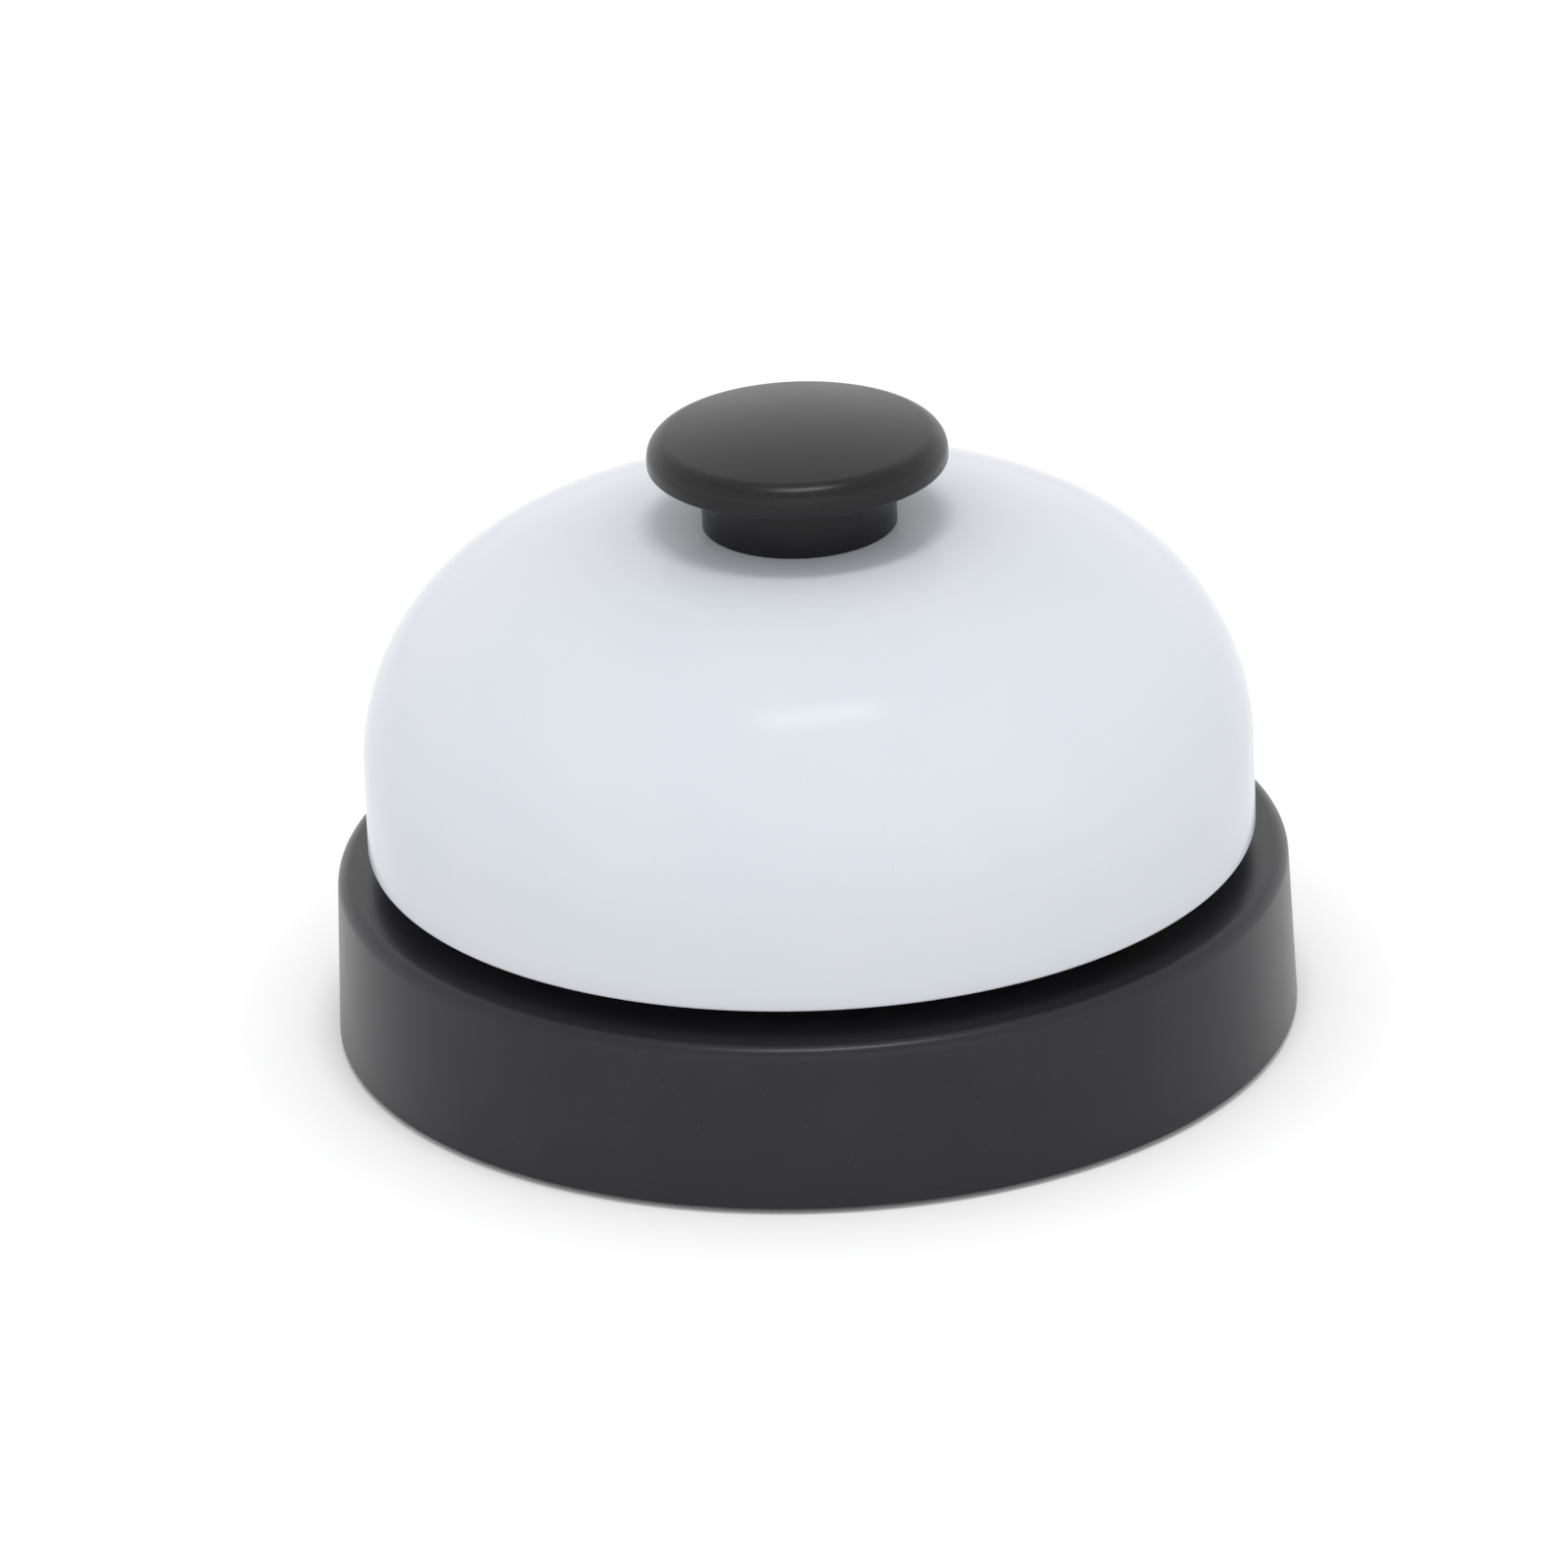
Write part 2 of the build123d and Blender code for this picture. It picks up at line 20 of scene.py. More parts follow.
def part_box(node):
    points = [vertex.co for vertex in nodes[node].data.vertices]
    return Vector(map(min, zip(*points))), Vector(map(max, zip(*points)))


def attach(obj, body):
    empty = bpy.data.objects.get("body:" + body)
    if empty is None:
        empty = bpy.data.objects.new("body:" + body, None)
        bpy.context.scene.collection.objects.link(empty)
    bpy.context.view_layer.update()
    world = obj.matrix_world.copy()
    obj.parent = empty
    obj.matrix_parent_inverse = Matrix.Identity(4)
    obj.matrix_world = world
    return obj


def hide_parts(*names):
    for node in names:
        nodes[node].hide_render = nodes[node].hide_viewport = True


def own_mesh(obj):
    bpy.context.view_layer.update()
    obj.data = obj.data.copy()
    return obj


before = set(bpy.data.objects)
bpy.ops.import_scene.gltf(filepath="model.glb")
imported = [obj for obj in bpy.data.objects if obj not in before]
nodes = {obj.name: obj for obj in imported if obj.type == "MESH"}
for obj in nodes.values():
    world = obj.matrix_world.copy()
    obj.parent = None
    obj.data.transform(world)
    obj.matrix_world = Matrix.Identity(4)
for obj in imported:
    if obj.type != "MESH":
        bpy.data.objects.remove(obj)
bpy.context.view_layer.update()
scene = bpy.context.scene
mm = 0.001

# %% [markdown]
# ## Reading the frame
#
# Every size below is read from a CAD node's box or follows from one, so that a piece can't drift away
# from the part that it stands for. A box gives a lowest and a highest corner. For a turned piece that
# is all it takes: the radius, the bottom and the top.

# %% Measure the nodes
def span(node):
    """The bottom, top and radius of a round node, in millimetres."""
    low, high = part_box(node)
    return low.z / mm, high.z / mm, (high.y - low.y) / 2 / mm


base_bottom, base_top, base_radius = span("base_shell")
dome_rim, dome_top, dome_radius = span("bell_dome")
collar_bottom, collar_top, collar_radius = span("collar_nut")
cap_boss_bottom, cap_top, cap_radius = span("button_cap")
foot_bottom, foot_top, foot_radius = span("foot_ring")
plate_bottom, plate_top, plate_radius = span("base_plate")
post_bottom, post_top, post_radius = span("threaded_post")
lock_bottom, lock_top, lock_radius = span("post_lock_washer")
pin_low, pin_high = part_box("pivot_pin")
pivot = Vector(((pin_low.x + pin_high.x) / 2, 0, (pin_low.z + pin_high.z) / 2))
print("dome", round(2 * dome_radius, 2), "mm wide; pivot at", [round(v / mm, 2) for v in pivot])

# %% [markdown]
# ## A small language for nodes
#
# Shader and geometry trees are both made of the same things: nodes, sockets and sums between them.
# Wiring sums by hand hides the idea under boxes, so a `Wire` wraps a socket and lets Python write the
# sum: `1 - mask * 0.4` adds the Math nodes by itself. A `Tree` makes every other node in one call, with
# the node's settings first and its sockets after.

# %% Wires and trees
class Wire:
    """A socket that can be written in sums."""

    def __init__(self, tree, socket):
        self.tree, self.socket = tree, socket

    def __add__(self, other):
        return self.tree.maths("ADD", self, other)

    def __sub__(self, other):
        return self.tree.maths("SUBTRACT", self, other)

    def __rsub__(self, other):
        return self.tree.maths("SUBTRACT", other, self)

    def __mul__(self, other):
        return self.tree.maths("MULTIPLY", self, other)

    def __truediv__(self, other):
        return self.tree.maths("DIVIDE", self, other)

    __radd__, __rmul__ = __add__, __mul__


class Tree:
    """A node tree that is built in script."""

    def __init__(self, nodes_tree):
        self.nodes_tree = nodes_tree

    def feed(self, socket, value):
        """Sets a socket to a value, or links a wire to it."""
        if isinstance(value, Wire):
            self.nodes_tree.links.new(value.socket, socket)
        elif value is not None:
            socket.default_value = value

    def node(self, kind, settings=None, sockets=None, output=0):
        """Adds a node and returns the wire of one of its outputs."""
        made = self.nodes_tree.nodes.new(kind)
        for key, value in (settings or {}).items():
            if key == "stops":
                self.set_stops(made.color_ramp, value)
            else:
                setattr(made, key, value)
        for key, value in (sockets or {}).items():
            self.feed(made.inputs[key], value)
        return Wire(self, made.outputs[output])

    def set_stops(self, ramp, stops):
        """Gives a colour ramp its stops, each a place and a colour."""
        while len(ramp.elements) < len(stops):
            ramp.elements.new(1)
        for element, (place, colour) in zip(ramp.elements, stops):
            element.position, element.color = place, colour

    def maths(self, operation, a, b=None, c=None):
        """A Math node on up to three values."""
        return self.node("ShaderNodeMath", {"operation": operation}, {0: a, 1: b, 2: c})


print("wires and trees are ready")

# %% [markdown]
# ## Turning on a lathe
#
# A turned part is a half-section swept round an axis. The half-section is drawn here as corners in
# radius and height, each with its own rounding, because real edges are never sharp and a rounded edge
# is what catches the light. The sweep itself is a Geometry Nodes tree: the drawn line becomes a curve
# and is swept round a circle. One tree serves every turned piece, and the number of segments is an
# input, so a large dome can be finer than a small rivet.

# %% Half-sections with rounded corners
def arc(centre, radius, start, end, steps):
    """Points of an arc in a half-section, between two angles in degrees."""
    angles = [math.radians(start + (end - start) * k / steps) for k in range(steps + 1)]
    return [(centre[0] + radius * math.cos(a), centre[1] + radius * math.sin(a)) for a in angles]


def rounded(*corners, steps=6):
    """A line through corners (radius, height, rounding), with each corner rounded by an arc."""
    points = []
    for k, (r, z, rounding) in enumerate(corners):
        if rounding == 0:
            points.append((r, z))
            continue
        here = Vector((r, z))
        before = Vector(corners[k - 1][:2]) - here
        after = Vector(corners[(k + 1) % len(corners)][:2]) - here
        half = before.angle(after) / 2
        reach = rounding / math.tan(half)
        start, end = here + before.normalized() * reach, here + after.normalized() * reach
        middle = here + (before.normalized() + after.normalized()).normalized() * rounding / math.sin(half)
        first, turn = start - middle, (end - middle).angle_signed(start - middle)
        for n in range(steps + 1):
            points.append(tuple(middle + Matrix.Rotation(turn * n / steps, 2) @ first))
    return points


def finely(points, step):
    """The same line with no stretch longer than a step, for a thread or a wave to be cut into."""
    out = []
    for k, (a, b) in enumerate(zip(points, points[1:])):
        parts = max(1, math.ceil(math.dist(a, b) / step))
        out += [tuple(Vector(a).lerp(Vector(b), n / parts)) for n in range(parts)]
    return out + [points[-1]]


def slab(inner, outer, low, high, inner_edge, outer_edge):
    """The closed section of a flat ring."""
    return rounded(
        (inner, low, inner_edge), (outer, low, outer_edge),
        (outer, high, outer_edge), (inner, high, inner_edge),
    )


def finely_closed(points, step):
    """A closed line with no stretch longer than a step, its last point joined to its first."""
    return finely(points + points[:1], step)[:-1]


print("a rounded corner becomes", len(rounded((0, 0, 0), (5, 0, 1), (5, 5, 0))), "points")

# %% [markdown]
# A modifier made of Geometry Nodes keeps its inputs under the socket's identifier. `run_tree` sets
# them, evaluates the object once, keeps the mesh that comes out and removes the modifier, so that what
# is left is a plain mesh. Smooth shading is then kept only where two faces meet at a gentle angle.

# %% Geometry trees
class Rule(Tree):
    """A Geometry Nodes tree with named inputs that works on one object's mesh."""

    def __init__(self, name, sizes):
        group = bpy.data.node_groups.new(name, "GeometryNodeTree")
        super().__init__(group)
        for way in ("OUTPUT", "INPUT"):
            group.interface.new_socket("Geometry", in_out=way, socket_type="NodeSocketGeometry")
        self.names = {}
        for label, kind in sizes.items():
            item = group.interface.new_socket(label, in_out="INPUT", socket_type="NodeSocket" + kind)
            self.names[label] = item.identifier
        self.inputs = group.nodes.new("NodeGroupInput")
        self.result = group.nodes.new("NodeGroupOutput")

    def size(self, label):
        """The wire of a named input."""
        return Wire(self, self.inputs.outputs[label])

    def finish(self, geometry):
        """Ends the tree: instances made real, and the piece's material."""
        real = self.node("GeometryNodeRealizeInstances", sockets={0: geometry})
        coated = self.node(
            "GeometryNodeSetMaterial", sockets={"Geometry": real, "Material": self.size("Material")}
        )
        self.feed(self.result.inputs[0], coated)
        return self


def keep_result(piece):
    """Replaces a piece's mesh by what its modifiers make of it."""
    graph = bpy.context.evaluated_depsgraph_get()
    made = bpy.data.meshes.new_from_object(piece.evaluated_get(graph), depsgraph=graph)
    piece.modifiers.clear()
    old, piece.data = piece.data, made
    bpy.data.meshes.remove(old)


def run_tree(piece, rule, **values):
    """Runs a tree on a piece and keeps the plain mesh that it makes."""
    modifier = piece.modifiers.new(rule.nodes_tree.name, "NODES")
    modifier.node_group = rule.nodes_tree
    for label, value in values.items():
        modifier[rule.names[label]] = value
    keep_result(piece)
    return piece


def around(vertex, parts):
    """A vertex's radius in millimetres, and its angle in parts of a turn."""
    angle = math.atan2(vertex.co.y, vertex.co.x)
    return vertex.co.xy.length / mm, angle / math.tau * parts


def new_piece(name, vertices, edges=(), faces=()):
    """A new object at the origin, from points in metres."""
    mesh = bpy.data.meshes.new(name)
    mesh.from_pydata(vertices, edges, faces)
    piece = bpy.data.objects.new(name, mesh)
    scene.collection.objects.link(piece)
    return piece


def smooth(piece, angle=30):
    """Merges doubles, points the faces outwards and shades gentle edges smooth."""
    work = bmesh.new()
    work.from_mesh(piece.data)
    bmesh.ops.remove_doubles(work, verts=work.verts, dist=1e-7)
    bmesh.ops.dissolve_degenerate(work, edges=work.edges, dist=1e-8)
    bmesh.ops.recalc_face_normals(work, faces=work.faces)
    work.to_mesh(piece.data)
    work.free()
    piece.data.shade_smooth()
    piece.data.set_sharp_from_angle(angle=math.radians(angle))
    return piece


# %% [markdown]
# The sweep is one tree. Curve to Mesh carries the drawn line round a circle, and the profile's own X is
# measured from that circle, so the line is drawn that much further in. A screw modifier could turn it
# too, but a tree also merges the poles and sets the material in the same step.

# %% The turning tree
SWEEP_RADIUS = 0.05  # of the circle that a half-section rides on; any size would do


def turning_tree():
    """Sweeps a half-section, drawn in the XY plane about the sweep circle, round the Z axis."""
    rule = Rule("turned", {"Segments": "Int", "Material": "Material"})
    line = rule.node("GeometryNodeMeshToCurve", sockets={0: rule.size("Geometry")})
    circle = rule.node(
        "GeometryNodeCurvePrimitiveCircle",
        sockets={"Resolution": rule.size("Segments"), "Radius": SWEEP_RADIUS},
    )
    upright = rule.node("GeometryNodeSetCurveNormal", {"mode": "Z_UP"}, {0: circle})
    skin = rule.node("GeometryNodeCurveToMesh", sockets={"Curve": upright, "Profile Curve": line})
    closed = rule.node("GeometryNodeMergeByDistance", sockets={0: skin, "Distance": 1e-7})
    return rule.finish(closed)


turned_rule = turning_tree()


def turned(name, section, material, segments=128, closed=True, angle=30):
    """A turned piece from its half-section in millimetres."""
    points = [(r * mm - SWEEP_RADIUS, -z * mm, 0) for r, z in section]
    edges = [(k, k + 1) for k in range(len(points) - 1)]
    if closed:
        edges.append((len(points) - 1, 0))
    piece = new_piece(name, points, edges)
    run_tree(piece, turned_rule, Segments=segments, Material=material)
    smooth(piece, angle)
    print(name, "turned with", len(piece.data.polygons), "faces")
    return piece


def hand_over(piece, slot, *stands_for, body="bell"):
    """Hides the CAD nodes that a finished piece stands for and gives the piece its body; the slot is not
    used.
    """
    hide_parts(*stands_for)
    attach(piece, body)


# %% [markdown]
# ## Finishes
#
# A finish is a Principled shader with the maths that drives it. What is the same all over the piece is
# set on the shader's own socket. What changes over the surface drives only colour, roughness or bump.
# All patterns read Object coordinates. The pieces sit at the origin with their place in the mesh, so
# the pattern is carved from one block of space, as grain is in wood.

# %% Build a finish
class Finish(Tree):
    """A material with one Principled shader, built node by node."""

    def __init__(self, name, **constants):
        self.material = bpy.data.materials.new(name)
        self.material.use_nodes = True
        super().__init__(self.material.node_tree)
        self.shader = self.nodes_tree.nodes["Principled BSDF"]
        for label, value in constants.items():
            self.shader.inputs[label.replace("_", " ")].default_value = value
        self.place = self.node("ShaderNodeTexCoord", output="Object")

    def drive(self, **wires):
        """Links wires to the shader's sockets."""
        for label, wire in wires.items():
            self.feed(self.shader.inputs[label.replace("_", " ")], wire)

    def noise(self, size, detail=2, stretch=(1, 1, 1), roughness=0.5):
        """Noise from 0 to 1, with blotches of a size in millimetres along each axis."""
        scaled = self.node(
            "ShaderNodeMapping", {"vector_type": "POINT"},
            {"Vector": self.place, "Scale": [1 / (size * mm * s) for s in stretch]},
        )
        return self.node(
            "ShaderNodeTexNoise", sockets={
                "Vector": scaled, "Scale": 1.0, "Detail": detail, "Roughness": roughness,
            },
        )

    def ramp(self, value, *stops):
        """A grey ramp from pairs of place and brightness."""
        colours = [(place, (level, level, level, 1)) for place, level in stops]
        return self.node("ShaderNodeValToRGB", {"stops": colours}, {"Fac": value})

    def specks(self, size, detail, start, full):
        """Scattered specks from noise: 0 up to one level of it, 1 from another."""
        return self.ramp(self.noise(size, detail), (start, 0.0), (full, 1.0))

    def blend(self, mask, first, second):
        """A colour between two others, by a mask from 0 to 1."""
        return self.node(
            "ShaderNodeMix", {"data_type": "RGBA"}, {"Factor": mask, 6: first, 7: second}, output=2
        )

    def bump(self, height, depth, before=None):
        """A surface normal from a height from 0 to 1, with its depth in millimetres."""
        return self.node(
            "ShaderNodeBump", sockets={"Height": height, "Distance": depth * mm, "Normal": before}
        )


def rgb(red, green, blue):
    """A colour socket's value."""
    return (red, green, blue, 1)


# %% [markdown]
# ### White enamel
#
# The dome is pressed steel, sprayed with a cool white enamel and stoved. Such paint is never quite
# even: it has a faint orange peel, it pools a little thicker in some places, and it picks up fine dust
# under the lacquer. The colour barely changes, so most of the work is in the bump and roughness.

# %% Enamel
def enamel():
    finish = Finish("white_enamel", IOR=1.5, Specular_IOR_Level=0.06)
    cloud = finish.noise(14, 3)
    peel = finish.noise(0.55, 2)
    speck = finish.specks(0.35, 1, 0.735, 0.76)
    warm = finish.blend(cloud, rgb(0.560, 0.585, 0.636), rgb(0.600, 0.618, 0.660))
    finish.drive(
        Base_Color=finish.blend(speck * 0.25, warm, rgb(0.50, 0.51, 0.53)),
        Roughness=0.13 + cloud * 0.08 + speck * 0.1,
        Normal=finish.bump(peel, 0.004, finish.bump(cloud, 0.02)),
    )
    return finish.material


white_enamel = enamel()
print("made", white_enamel.name)

# %% [markdown]
# ### Moulded black plastic
#
# The base and the button are moulded ABS. The mould of the base has a fine spark-eroded grain; the
# button's is nearly polished. Both are so dark that almost all of their light is reflection, so the
# roughness decides how they look. Handling polishes the edges and leaves faint streaks.

# %% Black plastics
def black_plastic(name, grain, gloss, tint):
    finish = Finish(name, IOR=1.30)
    handled = finish.noise(9, 4)
    grains = finish.noise(grain, 2)
    dust = finish.specks(0.5, 1, 0.72, 0.75)
    body = finish.blend(handled, rgb(*tint), rgb(*(1.5 * c for c in tint)))
    finish.drive(
        Base_Color=finish.blend(dust * 0.05, body, rgb(0.16, 0.16, 0.165)),
        Roughness=gloss + handled * 0.1 + dust * 0.05,
        Normal=finish.bump(grains, 0.005, finish.bump(handled, 0.01)),
    )
    return finish.material


base_black = black_plastic("moulded_black_base", 0.28, 0.25, (0.0150, 0.0144, 0.0172))
button_black = black_plastic("moulded_black_button", 0.40, 0.24, (0.0100, 0.0098, 0.0108))
print("made", base_black.name, "and", button_black.name)

# %% [markdown]
# ### Metals
#
# Inside, the sheet steel is zinc plated: dull, with large soft crystals. Turned parts carry fine rings
# round their own axis, made by the tool. Wire is drawn, so its marks run along it. One function makes
# all of these, because they differ only in colour, in the direction of the marks and in gloss.

# %% Plated and turned metals
def metal(name, dark, light, gloss, grain, stretch, grain_depth, crystal=6.0):
    finish = Finish(name, Metallic=1.0)
    patch = finish.noise(crystal, 2)
    marks = finish.noise(grain, 2, stretch)
    spot = finish.specks(1.3, 4, 0.62, 0.72)
    bright = finish.blend(patch * 0.7 + marks * 0.3, rgb(*dark), rgb(*light))
    finish.drive(
        Base_Color=finish.blend(spot * 0.15, bright, rgb(*(0.45 * c for c in dark))),
        Roughness=gloss + marks * 0.14 + spot * 0.2,
        Normal=finish.bump(marks, grain_depth),
    )
    return finish.material


zinc = metal("zinc_plated_sheet", (0.50, 0.52, 0.54), (0.70, 0.71, 0.72), 0.30, 0.5, (1, 1, 1), 0.004)
nickel = metal(
    "nickel_plated_turned", (0.56, 0.54, 0.50), (0.74, 0.72, 0.67), 0.16, 0.10, (20, 20, 1), 0.003
)
wire_steel = metal("spring_wire", (0.38, 0.38, 0.39), (0.58, 0.58, 0.59), 0.22, 0.12, (1, 1, 6), 0.002)
brass = metal("turned_brass", (0.58, 0.40, 0.16), (0.80, 0.60, 0.28), 0.20, 0.12, (20, 20, 1), 0.003)
aluminium = metal("turned_aluminium", (0.62, 0.63, 0.64), (0.82, 0.82, 0.83), 0.32, 0.3, (1, 1, 1), 0.004)
print("made", [m.name for m in (zinc, nickel, wire_steel, brass, aluminium)])

# %% [markdown]
# ### Rubber, fibre and nylon
#
# The feet, the bumper and the soft washers are rubber: a dull skin with a fine pitted grain and a grey
# bloom. The thrust washers are natural nylon, pale and a little waxy.

# %% Soft finishes
def rubber():
    finish = Finish("black_rubber", IOR=1.5)
    bloom = finish.noise(5, 4)
    pits = finish.noise(0.25, 3)
    finish.drive(
        Base_Color=finish.blend(bloom, rgb(0.014, 0.014, 0.014), rgb(0.040, 0.039, 0.038)),
        Roughness=0.72 + bloom * 0.15,
        Normal=finish.bump(pits, 0.02),
    )
    return finish.material


def nylon():
    finish = Finish("natural_nylon", IOR=1.53)
    cloud = finish.noise(2, 2)
    finish.drive(
        Base_Color=finish.blend(cloud, rgb(0.66, 0.63, 0.55), rgb(0.78, 0.76, 0.70)),
        Roughness=0.38 + cloud * 0.12,
        Normal=finish.bump(finish.noise(0.2, 2), 0.004),
    )
    return finish.material


black_rubber = rubber()
natural_nylon = nylon()
print("made", black_rubber.name, "and", natural_nylon.name)

# %% [markdown]
# ## The dome
#
# The dome is spun from one sheet, so it has one thickness. Its section is a straight wall, a shoulder
# arc and a flatter crown arc that runs level into a seat for the nut. The two arcs share a tangent, so
# the reflection runs over them without a kink. A low subdivision cage would only come near to that; a
# turned section is exact.

# %% Dome
DOME_WALL = 1.0
DOME_STRAIGHT = 7.8
DOME_SHOULDER = 19.8
DOME_SEAT = 11.6
DOME_HOLE = 5.2


def dome_line(inset, steps):
    """The dome's section line from rim to hole, set in by some depth."""
    wall_top = dome_rim + DOME_STRAIGHT
    drop = dome_top - wall_top - DOME_SHOULDER
    run = dome_radius - DOME_SHOULDER - DOME_SEAT
    offset = (run**2 + drop**2) / (2 * drop)
    meet = math.degrees(math.atan2(offset - drop, run))
    crown = DOME_SHOULDER + offset
    shoulder = arc((dome_radius - DOME_SHOULDER, wall_top), DOME_SHOULDER - inset, 0, meet, steps)
    top = arc((DOME_SEAT, dome_top - crown), crown - inset, meet, 90, steps // 2)
    return shoulder + top[1:] + [(DOME_HOLE, dome_top - inset)]


def dome_section():
    """The closed section of the dome, with a rounded rim."""
    outside = dome_line(0, 44)
    inside = dome_line(DOME_WALL, 32)
    rim = rounded(
        (*outside[0], 0), (dome_radius, dome_rim, 0.34),
        (dome_radius - DOME_WALL, dome_rim, 0.34), (*inside[0], 0),
    )
    return outside[::-1][:-1] + finely(rim, 1.2)[1:] + inside[1:]


dome = turned("bell_dome_shell", dome_section(), white_enamel, segments=256)
hand_over(dome, "dome_enamel", "bell_dome")

# %% [markdown]
# ## The base
#
# The base is one moulding: a drafted outer wall, a rounded top edge, a flat land and a sunken deck.
# Below, it is hollow, with three screw bosses on ribs. The shell is turned; the bosses and ribs are
# joined to it further on, because they are the only things on it that don't go all the way round.

# %% Base shell
DRAFT = math.tan(math.radians(2))
BASE_WALL = 2.2
EDGE = 1.3
WELL = 33.0
WELL_DEPTH = 2.3
DECK = 2.2


def base_section():
    """The closed half-section of the base."""
    land = base_radius - (base_top - base_bottom) * DRAFT
    inner = base_radius - BASE_WALL
    under = base_top - BASE_WALL
    deck = base_top - WELL_DEPTH
    return rounded(
        (0, deck, 0), (WELL, deck, 0.5), (WELL, base_top, 0.35), (land, base_top, EDGE),
        (base_radius, base_bottom, 0.08), (inner, base_bottom, 0.2),
        (inner - (under - base_bottom) * DRAFT, under, 0.5), (WELL + BASE_WALL, under, 0.5),
        (WELL + BASE_WALL, deck - DECK, 0.4), (0, deck - DECK, 0),
        steps=8,
    )


base = turned("base_moulding", base_section(), base_black, segments=256, closed=False)

# %% [markdown]
# ## The push button and its collar
#
# The cap is a mushroom with a full round rim. Its crown meets the rim at the same slope, so the light
# runs over it in one piece. Below it is hollow, because it comes down over the collar when the bell is
# rung. A boss in the middle holds the rod. Cap and collar are both turned sections.

# %% Cap
RIM = 2.0
RIM_STRAIGHT = 0.5
RIM_FOOT = 0.4
CROWN_SLOPE = 9.5
COLLAR_GAP = 0.55
ROD_BOSS = 2.25
ROD_BOSS_LENGTH = 5.5
ROD = 1.5


def cap_section():
    """The half-section of the cap, from the crown round to the rod's hole."""
    ceiling = cap_boss_bottom + ROD_BOSS_LENGTH
    rim_x = cap_radius - RIM
    slope = math.radians(CROWN_SLOPE)
    sphere = (rim_x + RIM * math.sin(slope)) / math.sin(slope)
    rim_z = cap_top - sphere + (sphere - RIM) * math.cos(slope)
    foot = rim_z - RIM_STRAIGHT - RIM_FOOT
    crown = arc((0, cap_top - sphere), sphere, 90, 90 - CROWN_SLOPE, 24)
    rim = arc((rim_x, rim_z), RIM, 90 - CROWN_SLOPE, 0, 20)
    hollow = collar_radius + COLLAR_GAP
    below = rounded(
        (*rim[-1], 0), (cap_radius, foot, RIM_FOOT), (hollow, foot, 0.35), (hollow, ceiling, 0.3),
        (ROD_BOSS, ceiling, 0.25), (ROD_BOSS, cap_boss_bottom, 0.2), (ROD, cap_boss_bottom, 0),
        (ROD, ceiling, 0), (0, ceiling, 0),
    )
    return crown + rim[1:] + below[1:]


cap = turned("button_cap_moulding", cap_section(), button_black, segments=192, closed=False)
hand_over(cap, "button_abs", "button_cap", body="button")

# %% [markdown]
# The collar is the round neck between dome and cap. It is screwed down on the dome and hides a soft
# washer and a brass insert in recesses below. One turned section gives the recesses and the soft edge.

# %% Collar
COLLAR_EDGE = 0.6


def collar_section():
    """The closed half-section of the collar, with its recesses for washer and insert."""
    _, washer_top, washer_radius = span("dome_upper_washer")
    _, insert_top, insert_corner = span("collar_insert")
    return rounded(
        (washer_radius, collar_bottom, 0), (washer_radius, washer_top, 0),
        (insert_corner, washer_top, 0), (insert_corner, insert_top, 0.1),
        (DOME_HOLE, insert_top, 0), (DOME_HOLE, collar_top, 0.3),
        (collar_radius, collar_top, COLLAR_EDGE), (collar_radius, collar_bottom, 0.15),
    )


collar = turned("collar_moulding", collar_section(), button_black, segments=128)
hand_over(collar, "button_abs", "collar_nut")

# %% [markdown]
# ## Rules for threads, hexagons and sets of parts
#
# Three things repeat on this bell's hardware, and each is one rule. A thread is a groove whose depth
# depends on height and angle together, fading out at both ends. A hexagon is a turned part from which
# six flats are milled, so its chamfers keep the curved edges that a real nut has. A set is one part
# placed several times round a circle. Each rule is a Geometry Nodes tree with its sizes as inputs.

# %% Thread, hexagon and set
def polar_parts(rule):
    """The position of each vertex, with its radius in millimetres, its angle in turns, its height."""
    place = rule.node("GeometryNodeInputPosition")
    split = rule.nodes_tree.nodes.new("ShaderNodeSeparateXYZ")
    rule.feed(split.inputs[0], place)
    x, y, z = (Wire(rule, out) for out in split.outputs)
    radius = rule.maths("SQRT", x * x + y * y) * 1000
    return place, radius, rule.maths("ARCTAN2", y, x) / math.tau, z * 1000


def scale_radius(rule, geometry, place, factor):
    """Moves every vertex towards the axis by a factor, keeping its height."""
    flat = rule.node("ShaderNodeCombineXYZ", sockets={0: factor, 1: factor, 2: 1.0})
    moved = rule.node("ShaderNodeVectorMath", {"operation": "MULTIPLY"}, {0: place, 1: flat})
    return rule.node("GeometryNodeSetPosition", sockets={"Geometry": geometry, "Position": moved})


def thread_tree():
    """Cuts a thread into the outside of a turned part."""
    sizes = {"Outside": "Float", "Pitch": "Float", "Depth": "Float", "Bottom": "Float", "Top": "Float"}
    rule = Rule("thread", {**sizes, "Material": "Material"})
    place, radius, turn, height = polar_parts(rule)
    wave = rule.maths("PINGPONG", height / rule.size("Pitch") - turn + 100, 0.5) * 2
    groove = rule.maths("SMOOTH_MIN", rule.maths("MULTIPLY", wave, 1.25), 1.0, 0.15)
    fade_in = rule.node("ShaderNodeClamp", sockets={0: height - rule.size("Bottom")})
    fade_out = rule.node("ShaderNodeClamp", sockets={0: rule.size("Top") - height})
    outer = rule.maths("GREATER_THAN", radius, rule.size("Outside") - 0.01)
    cut = groove * fade_in * fade_out * outer * rule.size("Depth")
    return rule.finish(scale_radius(rule, rule.size("Geometry"), place, 1 - cut / radius))


